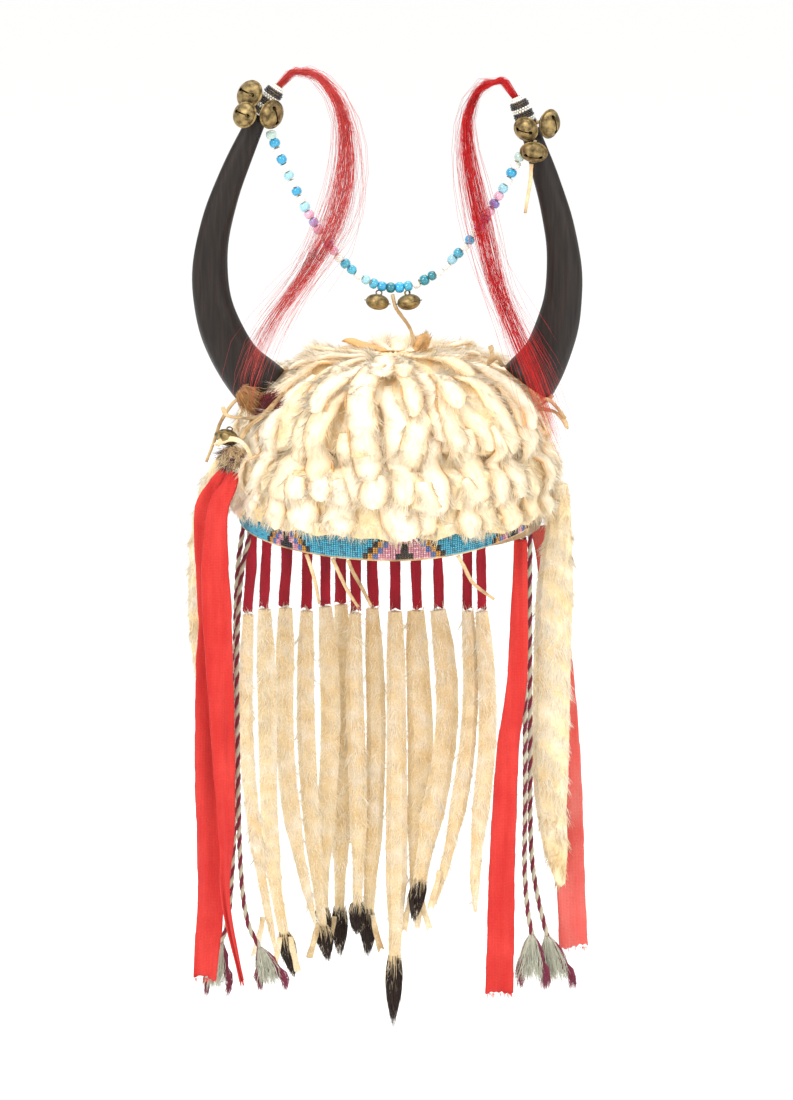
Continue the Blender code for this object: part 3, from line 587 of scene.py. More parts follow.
@dataclass(frozen=True)
class FloorFinish:
    """A pale paper floor with a hardly visible tooth."""

    name: str = "pale_paper_floor"

    def build(self) -> bpy.types.Material:
        """Makes the material.

        Returns:
            The material.
        """
        graph = Graph(self.name)
        tooth = graph.noise(graph.place(), 60, 3)
        colour = graph.mix(graph.times(tooth, 0.04), Paint.FLOOR.light, (0.85, 0.85, 0.85, 1))
        return graph.surface(Base_Color=colour, Roughness=0.9)


class Finishes:
    """Every material of the bonnet, each made once."""

    def __init__(self) -> None:
        """Builds every material."""
        # Fur: dull and soft, with a painted glow in its tint that lifts its shadows.
        self.fur = TintedFinish(
            "white_weasel_fur", 0.9, sheen=0.1, speckle=0.05, speckle_mm=2.0, inner=0.17, gloss=0.1
        ).build()
        self.long_fur = TintedFinish(
            "long_weasel_fur", 0.9, sheen=0.1, speckle=0.05, speckle_mm=2.0, inner=0.27, gloss=0.1
        ).build()
        # Glass: a small sharp light on each bead.
        self.seed = TintedFinish("glass_seed_beads", 0.22, coat=0.5, speckle=0.18, speckle_mm=2.2).build()
        self.glass = TintedFinish(
            "pressed_glass_beads", 0.16, coat=0.8, speckle=0.16, speckle_mm=3.0, glow=0.15
        ).build()
        # Fibres: fine glints along the horsehair, and none on the plied wool; both have a faint painted glow.
        self.horsehair = TintedFinish(
            "dyed_horsehair", 0.5, speckle=0.2, speckle_mm=4.0, inner=0.10, gloss=0.3
        ).build()
        self.wool = TintedFinish(
            "wool_yarn", 0.95, sheen=0.15, speckle=0.25, speckle_mm=0.55, inner=0.06, gloss=0.1
        ).build()
        # Hide: matt, blotched from handling, with a fine crinkle whose hollows are painted darker as painted
        # shade.
        self.skin = HideFinish("weasel_skin_side", Paint.SKIN, Paint.DARK_HIDE).build()
        self.pelt = HideFinish("pale_pelt", Paint.WARM_FUR, Paint.GOLD_FUR).build()
        self.drop_pelt = HideFinish("tan_pelt", Paint.WARM_FUR, Paint.GOLD_FUR, Paint.CREAM_FUR).build()
        self.hide = HideFinish("tanned_hide", Paint.HIDE, Paint.DARK_HIDE, Paint.WARM_FUR).build()
        self.pale_hide = HideFinish("pale_hide", Paint.WARM_FUR, Paint.HIDE).build()
        # Horn: near black, with a satin polish whose long light shows the curve.
        self.horn = HornFinish().build()
        # Cloth: threads both ways and faded patches, which the nap of stroud and felt hides, and lengthwise
        # streaks of painted fold shade.
        self.red_cloth = ClothFinish(
            "red_cotton_cloth", Paint.RED_CLOTH, Paint.RED_CLOTH_WORN, 0.5, 0.08, 0.35
        ).build()
        self.thin_cloth = ClothFinish(
            "thin_red_cotton", Paint.THIN_RED_CLOTH, Paint.THIN_RED_WORN, 0.5, 0.25, 0.35
        ).build()
        self.stroud = ClothFinish("crimson_stroud", Paint.STROUD, Paint.STROUD_DARK, 0.8, 0.12, 0.8).build()
        self.felt = ClothFinish("brown_felt", Paint.DARK_HIDE, Paint.HIDE, 1.2, 0.4, 0.95).build()
        # Brass: brown patina with rubbed bright places.
        self.brass = BrassFinish().build()
        # Paper: an even pale ground.
        self.floor = FloorFinish().build()


def mesh_of(name: str, points: Points, triangles: Points, tints: Points | None = None) -> bpy.types.Mesh:
    """One mesh from arrays, smooth, with a tint for each point.

    Args:
        name: the mesh's name.
        points: n by 3 places in metres.
        triangles: m by 3 point numbers.
        tints: n by 3 linear colours.

    Returns:
        The mesh.
    """
    mesh = bpy.data.meshes.new(name)
    mesh.vertices.add(len(points))
    mesh.vertices.foreach_set("co", np.ascontiguousarray(points, np.float32).ravel())
    mesh.loops.add(len(triangles) * 3)
    mesh.loops.foreach_set("vertex_index", np.ascontiguousarray(triangles, np.int32).ravel())
    mesh.polygons.add(len(triangles))
    mesh.polygons.foreach_set("loop_start", np.arange(len(triangles), dtype=np.int32) * 3)
    mesh.polygons.foreach_set("use_smooth", np.ones(len(triangles), bool))
    if tints is not None:
        colours = np.ones((len(points), 4), np.float32)
        colours[:, :3] = tints
        mesh.color_attributes.new("tint", "FLOAT_COLOR", "POINT").data.foreach_set("color", colours.ravel())
    mesh.update()
    return mesh


def put(
    name: str, mesh: bpy.types.Mesh, material: bpy.types.Material, slot: str, *nodes: str
) -> bpy.types.Object:
    """Makes the finished piece, which rides on the frame.

    Args:
        name: the piece's name.
        mesh: its mesh, already in place.
        material: its finish.
        slot: the name of a material slot; not used.
        nodes: the nodes that it stands for.

    Returns:
        The object.
    """
    made = bpy.data.objects.new(name, mesh)
    mesh.materials.clear()
    mesh.materials.append(material)
    bpy.context.scene.collection.objects.link(made)
    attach(made, "root")
    if nodes:
        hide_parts(*nodes)
    return made


def strands(
    name: str, paths: Points, radii: Points, tints: Points, sides: int = 3, facing: Points | None = None
) -> bpy.types.Mesh:
    """Many fine hairs as one mesh: each is a thin pointed tube along its own path.

    Args:
        name: the mesh's name.
        paths: hairs by steps by 3 places.
        radii: hairs by steps half-widths; the last is ignored, since a hair ends in a point.
        tints: hairs by steps by 3 linear colours.
        sides: how many sides a hair has.
        facing: hairs by 3 ways that the coat faces, so that it takes light as one soft surface.

    Returns:
        The mesh.
    """
    count, steps = paths.shape[:2]
    along = unit(np.gradient(paths, axis=1))
    hint = np.where(np.abs(along[..., 2:3]) > 0.85, [[[1.0, 0.2, 0.0]]], [[[0.1, 0.0, 1.0]]])
    side = unit(np.cross(along, hint))
    other = np.cross(along, side)
    turn = np.arange(sides) * 2 * math.pi / sides
    ring = (
        side[:, :-1, None, :] * np.cos(turn)[None, None, :, None]
        + other[:, :-1, None, :] * np.sin(turn)[None, None, :, None]
    )
    body = paths[:, :-1, None, :] + ring * radii[:, :-1, None, None]
    points = np.concatenate([body.reshape(count, -1, 3), paths[:, -1:, :]], axis=1)
    colour = np.concatenate([np.repeat(tints[:, :-1], sides, axis=1), tints[:, -1:]], axis=1)
    faces = tube_faces(steps - 2, sides)
    last, tip = (steps - 2) * sides, (steps - 1) * sides
    faces += [(last + k, last + (k + 1) % sides, tip) for k in range(sides)]
    faces += [(0, k + 1, k) for k in range(1, sides - 1)]
    triangles = np.array(faces)[None] + (np.arange(count) * (tip + 1))[:, None, None]
    mesh = mesh_of(name, points.reshape(-1, 3), triangles.reshape(-1, 3), colour.reshape(-1, 3))
    if facing is not None:
        round_it = np.concatenate([ring.reshape(count, -1, 3), along[:, -1:]], axis=1)
        normals = unit(facing[:, None] + round_it * 0.35)
        mesh.normals_split_custom_set_from_vertices(normals.reshape(-1, 3))
    return mesh


class Skin:
    """The outer face of a node, to grow hair on and to lay things against."""

    def __init__(self, node: str) -> None:
        """Reads the node's mesh from the frame."""
        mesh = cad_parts[node].data
        mesh.calc_loop_triangles()
        self.points = np.array([v.co for v in mesh.vertices])
        self.triangles = np.array([t.vertices for t in mesh.loop_triangles])
        a, b, c = (self.points[self.triangles[:, k]] for k in range(3))
        cross = np.cross(b - a, c - a)
        self.area = np.linalg.norm(cross, axis=1) / 2
        self.normals = unit(cross)
        self.tree = BVHTree.FromPolygons(self.points.tolist(), self.triangles.tolist())

    def scatter(
        self, count: int, rng: np.random.Generator, wanted: Callable[[Points, Points], Points] | None = None
    ) -> tuple[Points, Points]:
        """Random places on the face with their normals.

        Args:
            count: how many places.
            rng: the source of chance.
            wanted: gives each triangle's weight from its middle and normal.

        Returns:
            Places and normals, count by 3 each.
        """
        weight = self.area.copy()
        if wanted is not None:
            weight *= wanted(self.points[self.triangles].mean(axis=1), self.normals)
        which = rng.choice(len(weight), count, p=weight / weight.sum())
        u, v = rng.random((2, count, 1))
        over = u + v > 1
        u, v = np.where(over, 1 - u, u), np.where(over, 1 - v, v)
        a, b, c = (self.points[self.triangles[which, k]] for k in range(3))
        return a + (b - a) * u + (c - a) * v, self.normals[which]

    def meet(self, start: Vector, way: Vector) -> tuple[Vector, Vector] | None:
        """Where a straight line first meets the face, and the normal there."""
        place, normal, _, _ = self.tree.ray_cast(start, way.normalized())
        return None if place is None else (place, normal)


def sweep(
    name: str,
    route: Points,
    wide: Callable[[float], float],
    deep: Callable[[float], float],
    sides: int,
    hint: Vector = Vector((0, 1, 0)),
    uneven: Callable[[float, float], float] | None = None,
) -> bpy.types.Mesh:
    """A closed tube along a route, made by extruding its first ring.

    Args:
        name: the mesh's name.
        route: the middle line.
        wide: half-width by share of the route.
        deep: half-depth by share of the route.
        sides: how many sides the ring has.
        hint: the way that the depth faces.
        uneven: a factor on the ring by turn and share.

    Returns:
        The mesh.
    """
    shape = bmesh.new()
    turns = shape.verts.layers.float.new("turn")
    shares = shape.verts.layers.float.new("along")
    ring = bmesh.ops.create_circle(shape, cap_ends=True, segments=sides, radius=1.0)["verts"]
    for vertex in ring:
        vertex[turns] = math.atan2(vertex.co.y, vertex.co.x)
    edges = list({edge for vertex in ring for edge in vertex.link_edges})
    along = unit(np.gradient(route, axis=0))
    for index, (place, way) in enumerate(zip(route, along)):
        if index:
            made = bmesh.ops.extrude_edge_only(shape, edges=edges)["geom"]
            ring = [g for g in made if isinstance(g, bmesh.types.BMVert)]
            kept = set(ring)
            edges = [g for g in made if isinstance(g, bmesh.types.BMEdge) and set(g.verts) <= kept]
        share = index / (len(route) - 1)
        across = hint.cross(Vector(way)).normalized()
        front = Vector(way).cross(across)
        for vertex in ring:
            turn = vertex[turns]
            swell = uneven(turn, share) if uneven else 1.0
            step = across * (math.cos(turn) * wide(share)) + front * (math.sin(turn) * deep(share))
            vertex.co = Vector(place) + step * swell
            vertex[shares] = share
    bmesh.ops.contextual_create(shape, geom=edges)
    bmesh.ops.recalc_face_normals(shape, faces=shape.faces)
    return baked(name, shape)


def baked(name: str, shape: bmesh.types.BMesh, smooth: bool = True) -> bpy.types.Mesh:
    """Turns the shape into a mesh and frees it.

    Args:
        name: the mesh's name.
        shape: what to turn into it.
        smooth: whether its faces are smooth.

    Returns:
        The mesh.
    """
    mesh = bpy.data.meshes.new(name)
    for face in shape.faces:
        face.smooth = smooth
    shape.to_mesh(mesh)
    shape.free()
    return mesh


@dataclass(frozen=True)
class Ribbon:
    """A strip of cloth or hide along a route.

    Attributes:
        name: the piece's name.
        route: its middle line in metres.
        half: half-width by share of the route.
        thick: its thickness.
        crease: how deep its folds run, in metres.
        seed: which folds it has.
        face: the way that it faces.
    """

    name: str
    route: Points
    half: Callable[[float], float]
    thick: float
    crease: float
    seed: int
    face: Vector = field(default_factory=lambda: Vector((0, -1, 0)))

    def length(self) -> float:
        """The length of its middle line."""
        return length_of(self.route)

    def build(self, columns: int = 10, rows: int = 90, ragged: float = 0.0) -> bpy.types.Mesh:
        """Bends a flat grid onto the route and gives it its thickness.

        Args:
            columns: how many cells it has across.
            rows: how many cells it has along.
            ragged: how unevenly its foot ends, in metres.

        Returns:
            The mesh.
        """
        shape = bmesh.new()
        bmesh.ops.create_grid(shape, x_segments=columns, y_segments=rows, size=1.0)
        last = 199
        line = smooth_line(self.route, last + 1)
        along = unit(np.gradient(line, axis=0))
        for vertex in shape.verts:
            u, share = vertex.co.x, (1 - vertex.co.y) / 2
            place = min(share * last, last - 0.001)
            low, part = int(place), place - int(place)
            middle = Vector(line[low]).lerp(Vector(line[low + 1]), part)
            way = Vector(along[low])
            across = way.cross(self.face).normalized()
            front = across.cross(way)
            half = self.half(share) * (1 + 0.05 * wobble(round(share * 30), self.seed + (u > 0)))
            fold = math.sin(u * 2.1 + share * 9 + self.seed) * 0.5
            fold += math.sin(share * 23 - u * 1.4 + self.seed * 2) * 0.3
            fold += math.sin(u * 5.2 + share * 4 + self.seed * 3) * 0.22
            end = ragged * wobble(round(u * 7), self.seed) * max(0.0, share - 0.97) / 0.03
            vertex.co = middle + across * (u * half) + front * (fold * self.crease) + way * end
        bmesh.ops.recalc_face_normals(shape, faces=shape.faces)
        bmesh.ops.solidify(shape, geom=shape.faces[:], thickness=self.thick)
        bmesh.ops.recalc_face_normals(shape, faces=shape.faces)
        return baked(self.name, shape)


def turned(profile: Sequence[tuple[float, float]], steps: int) -> tuple[Points, Points]:
    """A round template: the profile spun about +Z.

    Args:
        profile: its (radius, height) points.
        steps: how many steps the turn has.

    Returns:
        Its points and triangles.
    """
    shape = bmesh.new()
    line = [shape.verts.new((r, 0, z)) for r, z in profile]
    edges = [shape.edges.new(pair) for pair in zip(line, line[1:])]
    bmesh.ops.spin(
        shape, geom=line + edges, cent=(0, 0, 0), axis=(0, 0, 1), angle=2 * math.pi, steps=steps,
        use_merge=True,
    )
    bmesh.ops.remove_doubles(shape, verts=shape.verts, dist=1e-5)
    bmesh.ops.recalc_face_normals(shape, faces=shape.faces)
    bmesh.ops.triangulate(shape, faces=shape.faces)
    shape.verts.index_update()
    points = np.array([v.co for v in shape.verts])
    triangles = np.array([[v.index for v in f.verts] for f in shape.faces])
    shape.free()
    return points, triangles


def copies(
    name: str, template: tuple[Points, Points], places: Points, axes: Points, sizes: Points, tints: Points
) -> bpy.types.Mesh:
    """Many copies of a template as one mesh, each with its own axis, size and tint.

    Args:
        name: the mesh's name.
        template: points and triangles about +Z.
        places: n by 3 middles.
        axes: n by 3 directions for +Z.
        sizes: n by 3 scales of the template's x, y and z.
        tints: n by 3 linear colours.

    Returns:
        The mesh.
    """
    points, triangles = template
    axes = unit(axes)
    hint = np.where(np.abs(axes[:, 2:3]) > 0.9, [[1.0, 0, 0]], [[0, 0, 1.0]])
    side = unit(np.cross(hint, axes))
    other = np.cross(axes, side)
    local = points[None] * sizes[:, None, :]
    world = (
        places[:, None]
        + local[..., 0:1] * side[:, None]
        + local[..., 1:2] * other[:, None]
        + local[..., 2:3] * axes[:, None]
    )
    faces = triangles[None] + (np.arange(len(places)) * len(points))[:, None, None]
    colour = np.repeat(tints[:, None], len(points), axis=1)
    return mesh_of(name, world.reshape(-1, 3), faces.reshape(-1, 3), colour.reshape(-1, 3))


@dataclass(frozen=True)
class Coat:
    """How a patch of fur grows.

    Attributes:
        length: the hair's length in metres.
        radius: its half-width at the root.
        lift: how far it stands off the skin, as a share of its length.
        curl: how unevenly it lies.
        clump: the size of its clumps in metres.
    """

    length: float
    radius: float
    lift: float
    curl: float
    clump: float

    def grow(
        self, name: str, roots: Points, normals: Points, flow: Points, tints: Points, rng: np.random.Generator
    ) -> bpy.types.Mesh:
        """Grows the hair.

        Args:
            name: the mesh's name.
            roots: where each hair starts.
            normals: which way is outward there.
            flow: which way the fur is combed.
            tints: each hair's linear colour.
            rng: the source of chance.

        Returns:
            The mesh.
        """
        count = len(roots)
        comb = unit(flow - normals * (flow * normals).sum(1, keepdims=True) * 0.9)
        lean = ripple(roots, self.clump, 11) * self.curl
        lean = lean + rng.normal(scale=self.curl * 0.35, size=roots.shape)
        long = self.length * rng.uniform(0.65, 1.15, (count, 1))
        long = long * (1 + 0.38 * ripple(roots, 0.034, 29)[:, :1])
        away = unit(comb + lean)
        rise = self.lift * rng.uniform(0.4, 1.0, (count, 1))
        tips = roots + (away + normals * rise + lean * 0.25) * long
        paths = np.stack([roots - normals * 0.0003, tips], axis=1)
        radii = self.radius * rng.uniform(0.8, 1.4, (count, 1)) * np.array([[1.0, 0.0]])
        # Each hair's root is painted a little darker than its tip: painted shade at the roots.
        shades = np.stack([tints * 0.94, tints], axis=1)
        return strands(name, paths, radii, shades, facing=normals)


@dataclass(frozen=True)
class StripRow:
    """A row of fur strips laid round the cap.

    Attributes:
        count: how many strips go round.
        first: where they start, as a share from the crown (0) to the rim (1).
        last: where they end.
        ragged: how unevenly they end.
        wide: a strip's width at its end, in mm.
        lift: how far its end stands off the tier, in mm.
        hairs: how many hairs a strip has.
    """

    count: int
    first: float
    last: float
    ragged: float
    wide: float
    lift: float
    hairs: int


ROWS = (
    StripRow(32, 0.80, 0.960, 0.009, 23.0, 2.4, 390),
    StripRow(30, 0.62, 0.880, 0.026, 22.5, 2.9, 460),
    StripRow(29, 0.34, 0.740, 0.070, 21.0, 3.6, 500),
    StripRow(23, 0.16, 0.560, 0.100, 19.5, 4.3, 420),
    StripRow(14, 0.04, 0.310, 0.090, 17.0, 4.8, 300),
)


@dataclass
class FurCap:
    """The cap: white fur strips in overlapping rows, with curled skin edges and a few bare ends."""

    finishes: Finishes
    coat: Coat = Coat(0.0084, 0.00019, 0.32, 0.44, 0.012)
    low_coat: Coat = Coat(0.0066, 0.00019, 0.30, 0.36, 0.012)
    thickest: float = 0.024
    tuft_hairs: int = 260

    def surface(self) -> Callable[[float, float], tuple[Vector, Vector]]:
        """Finds the outermost face of the tiers along a line from the cap's inside.

        Returns:
            A function that gives the place and the way outwards at a share and a turn.
        """
        skins = [Skin(n) for n in ("cap_shell", "fur_tier_low", "fur_tier_middle", "fur_tier_crown")]

        def at(share: float, turn: float) -> tuple[Vector, Vector]:
            """The outermost place at this share and turn, and the way outwards."""
            start, foot = dome_point(share, turn, 0.05), dome_point(share, turn)
            way = (foot - start).normalized()
            found = [hit[0] for skin in skins if (hit := skin.meet(start, way))]
            best = min(found, key=lambda place: (place - start).length) if found else foot
            return (best if (best - foot).length < self.thickest else foot), -way

        return at

    def strip(
        self, row: StripRow, which: int, at: Callable, rng: np.random.Generator
    ) -> tuple[Points, Points, Points]:
        """One strip of a row.

        Args:
            row: the row that it belongs to.
            which: its number in the row.
            at: gives the outermost place and the way outwards by share and turn.
            rng: the source of chance.

        Returns:
            Its middle line, its outward ways, and its half-widths and half-depths.
        """
        turn = 2 * math.pi * (which + 0.5 * (row.count % 2) + rng.uniform(-0.30, 0.30)) / row.count
        drift = rng.uniform(-0.09, 0.09)
        last = min(row.last + row.ragged * rng.uniform(-1, 1), 0.968)
        steps = np.linspace(0, 1, 12)
        middle, outward = [], []
        for step in steps:
            share = row.first + (last - row.first) * step
            bend = drift * step + 0.018 * math.sin(step * 5 + which * 1.7) / max(share, 0.3)
            place, away = at(share, turn + bend)
            lift = (0.9 + (row.lift * rng.uniform(0.85, 1.15) - 0.9) * step) * MM
            middle.append(place + away * lift)
            outward.append(away)
        middle = smooth_line(middle, 12)
        wide = row.wide * rng.uniform(0.62, 1.12) * MM / 2
        half = np.interp(steps, [0, 0.4, 0.8, 0.95, 1], [0.50, 0.84, 1, 0.92, 0.60]) * wide
        half *= 1 + 0.10 * np.sin(steps * 13 + which * 2.1)
        depth = np.interp(steps, [0, 0.5, 0.9, 1], [0.6, 1.2, 1.5, 0.9]) * MM
        return middle, np.array([tuple(v) for v in outward]), np.column_stack([half, depth])

    def row(self, index: int, row: StripRow, at: Callable) -> None:
        """Lays one row of strips and grows its fur.

        Args:
            index: the row's number from the rim.
            row: its plan.
            at: gives the outermost place and the way outwards by share and turn.
        """
        rng = np.random.default_rng(400 + index)
        sides = 10
        points, faces, tints, hair = [], [], [], []
        edges: list[tuple[Points, Points, Points]] = []
        for which in range(row.count):
            middle, outward, size = self.strip(row, which, at, rng)
            along = unit(np.gradient(middle, axis=0))
            across = unit(np.cross(along, outward))
            front = np.cross(across, along)
            round_turn = np.arange(sides) * 2 * math.pi / sides
            ring = (
                across[:, None] * (np.cos(round_turn)[None, :, None] * size[:, None, 0:1])
                + front[:, None] * (np.sin(round_turn)[None, :, None] * size[:, None, 1:2])
            )
            bare = index > 1 and rng.random() < 0.07
            warmth = np.clip(rng.normal(0.28, 0.22), 0.05, 0.9)
            main = warmed(warmth)
            if bare:
                main, size = shade(Paint.SKIN) * rng.uniform(0.85, 1.05), size * [0.6, 0.5]
            edge = shade(Paint.SKIN) * rng.uniform(0.75, 1.05)
            body = (middle[:, None] + ring).reshape(-1, 3)
            closed = np.vstack([body, middle[:1] - along[:1] * 0.001, middle[-1:] + along[-1:] * 0.002])
            count = len(body)
            start = sum(len(p) for p in points)
            triangles = tube_faces(len(middle) - 1, sides)
            for k in range(sides):
                triangles.append((count, (k + 1) % sides, k))
                triangles.append((count + 1, count - sides + k, count - sides + (k + 1) % sides))
            points.append(closed)
            faces.append(np.array(triangles) + start)
            # A strip's sides are painted skin-tan: partly its real tan skin edge, partly painted shade in the
            # gaps between strips.
            rim = np.abs(np.cos(round_turn))[None, :, None] ** 3
            tone = (main * (1 - rim) + edge * rim) * np.ones((len(middle), 1, 1))
            tints.append(np.vstack([tone.reshape(-1, 3), tone[0, :1], tone[-1, 2:3]]))
            if not bare:
                hair.append(self.hair(row, middle, along, across, front, size, main, rng))
            if index and rng.random() < 0.55:
                edges.append(self.curl(middle, across, front, size, rng))
        name = f"fur_strips_{index + 1}"
        mesh = mesh_of(name, np.vstack(points), np.vstack(faces), np.vstack(tints))
        put(name, mesh, self.finishes.fur, "white_fur")
        coat = self.coat if index else self.low_coat
        roots, ways, flow, shades = (np.vstack([part[k] for part in hair]) for k in range(4))
        half = len(roots) // 2
        order = rng.permutation(len(roots))
        for part, chosen in enumerate((order[:half], order[half:])):
            mesh = coat.grow(
                f"hair_{name}_{part}", roots[chosen], ways[chosen], flow[chosen], shades[chosen], rng
            )
            put(mesh.name, mesh, self.finishes.fur, "white_fur")
        if edges:
            paths, radii, tones = (np.array([edge[k] for edge in edges]) for k in range(3))
            mesh = strands(f"skin_edges_{index + 1}", paths, radii, tones, sides=5)
            put(mesh.name, mesh, self.finishes.fur, "white_fur")

    def hair(
        self, row: StripRow, middle: Points, along: Points, across: Points, front: Points, size: Points,
        main: Points, rng: np.random.Generator,
    ) -> tuple[Points, Points, Points, Points]:
        """Where a strip's hairs start, which way they stand and lie, and their colours.

        Args:
            row: the strip's row.
            middle: its middle line.
            along: the way that it runs, at each step.
            across: the way across it.
            front: the way outwards.
            size: its half-widths and half-depths.
            main: its linear colour.
            rng: the source of chance.

        Returns:
            Roots, outward ways, combed ways and linear colours, a row for each hair.
        """
        count = row.hairs
        step = rng.random(count) ** 0.8 * 11
        low = np.minimum(step.astype(int), 10)
        part = (step - low)[:, None]
        side = rng.uniform(-1.75, 1.75, (count, 1))
        half = size[low] * (1 - part) + size[low + 1] * part
        roots = middle[low] * (1 - part) + middle[low + 1] * part
        roots = roots + across[low] * np.sin(side) * half[:, :1] + front[low] * np.cos(side) * half[:, 1:]
        ways = unit(front[low] * np.maximum(np.cos(side), 0.15) + across[low] * np.sin(side) * 0.7)
        end = np.clip((step[:, None] - 9) / 2, 0, 1)
        flow = along[low] + across[low] * np.sin(side) * (0.16 + 0.45 * end)
        flow = flow + rng.normal(scale=0.10, size=(count, 3))
        # Hairs on a strip's sides are painted towards tan: partly the real tan skin edge, partly painted shade
        # between the strips.
        rim = np.clip(np.abs(np.sin(side)) * 1.4 - 0.75, 0, 1)
        shades = main * (1 - rim * 0.55) + shade(Paint.TAN_FUR) * rim * 0.55
        tan = rng.random(count) < 0.03
        shades[tan] = shades[tan] * 0.6 + shade(Paint.TAN_FUR) * 0.4
        return roots, ways, flow, shades * rng.uniform(0.93, 1.05, (count, 1))

    def curl(
        self, middle: Points, across: Points, front: Points, size: Points, rng: np.random.Generator
    ) -> tuple[Points, Points, Points]:
        """The curled skin edge along one side of a strip: its path, half-widths and colours.

        Args:
            middle: the strip's middle line.
            across: the way across it, at each step.
            front: the way outwards.
            size: its half-widths and half-depths.
            rng: the source of chance.

        Returns:
            Eight places, their half-widths and their linear colours.
        """
        side = rng.choice([-1, 1])
        begin, end = sorted(rng.choice(np.arange(1, 12), 2, replace=False))
        at = np.linspace(begin, max(end, begin + 3), 8).clip(0, 11)
        low = np.minimum(at.astype(int), 10)
        part = (at - low)[:, None]
        spot = middle[low] * (1 - part) + middle[low + 1] * part
        wave = np.sin(at * 1.9 + rng.uniform(0, 6))[:, None] * 0.0007
        path = spot + across[low] * (side * size[low, :1] * 0.98 + wave) + front[low] * (0.0004 + wave * 0.6)
        radii = np.interp(np.arange(8), [0, 2, 5, 7], [0.2, 1.0, 0.9, 0.2]) * rng.uniform(0.45, 0.95) * MM
        return path, radii, np.tile(shade(Paint.SKIN) * rng.uniform(0.75, 1.15), (8, 1))

    def fuzz(self, node: str, count: int = 4200) -> None:
        """The thin fur that shows between the strips and along a tier's lower edge.

        Args:
            node: the tier.
            count: how many hairs.
        """
        rng = np.random.default_rng(len(node))
        core = np.array([0, 0, -0.05])

        def wanted(middles: Points, ways: Points) -> Points:
            """The outer faces alone, and more of them low down."""
            return ((unit(middles - core) * ways).sum(1) > 0.1) * (1.2 - middles[:, 2] / 0.1)

        roots, normals = Skin(node).scatter(count, rng, wanted)
        flow = unit(roots * [1, 1, 0]) * 0.25 + [0, 0, -1.0]
        tints = np.tile(shade(Paint.WARM_FUR), (count, 1)) * rng.uniform(0.85, 1.05, (count, 1))
        mesh = self.low_coat.grow(f"hair_{node}", roots, normals, flow, tints, rng)
        put(mesh.name, mesh, self.finishes.fur, "white_fur")

    def build(self) -> None:
        """Dresses the cap, lays its rows of strips and grows the small crown tuft."""
        at = self.surface()
        for tier in ("low", "middle", "crown"):
            dress(f"fur_tier_{tier}", self.finishes.pelt)
            self.fuzz(f"fur_tier_{tier}")
        for index, row in enumerate(ROWS):
            self.row(index, row, at)
        dress("cap_shell", self.finishes.felt)
        dress("fur_tuft_crown", self.finishes.skin)
        rng = np.random.default_rng(23)
        count = self.tuft_hairs
        roots, normals = Skin("fur_tuft_crown").scatter(count, rng)
        tints = np.tile(shade(Paint.TAN_FUR), (count, 1)) * rng.uniform(0.8, 1.1, (count, 1))
        coat = Coat(0.0028, 0.00018, 0.3, 0.5, 0.005)
        flow = np.tile([0.15, -0.1, 1.0], (count, 1))
        mesh = coat.grow("hair_crown_tuft", roots, normals, flow, tints, rng)
        put("hair_crown_tuft", mesh, self.finishes.fur, "white_fur")


def dress(node: str, material: bpy.types.Material) -> None:
    """Gives a shown node its finish.

    Args:
        node: the node.
        material: its finish.
    """
    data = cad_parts[node].data
    data.materials.clear()
    data.materials.append(material)


@dataclass(frozen=True)
class Motif:
    """A stepped triangle on the band: its middle column and its half-width in columns at the foot."""

    middle_deg: float
    half: int


MOTIFS = (Motif(-131.5, 12), Motif(-86.5, 16), Motif(-42.5, 12))


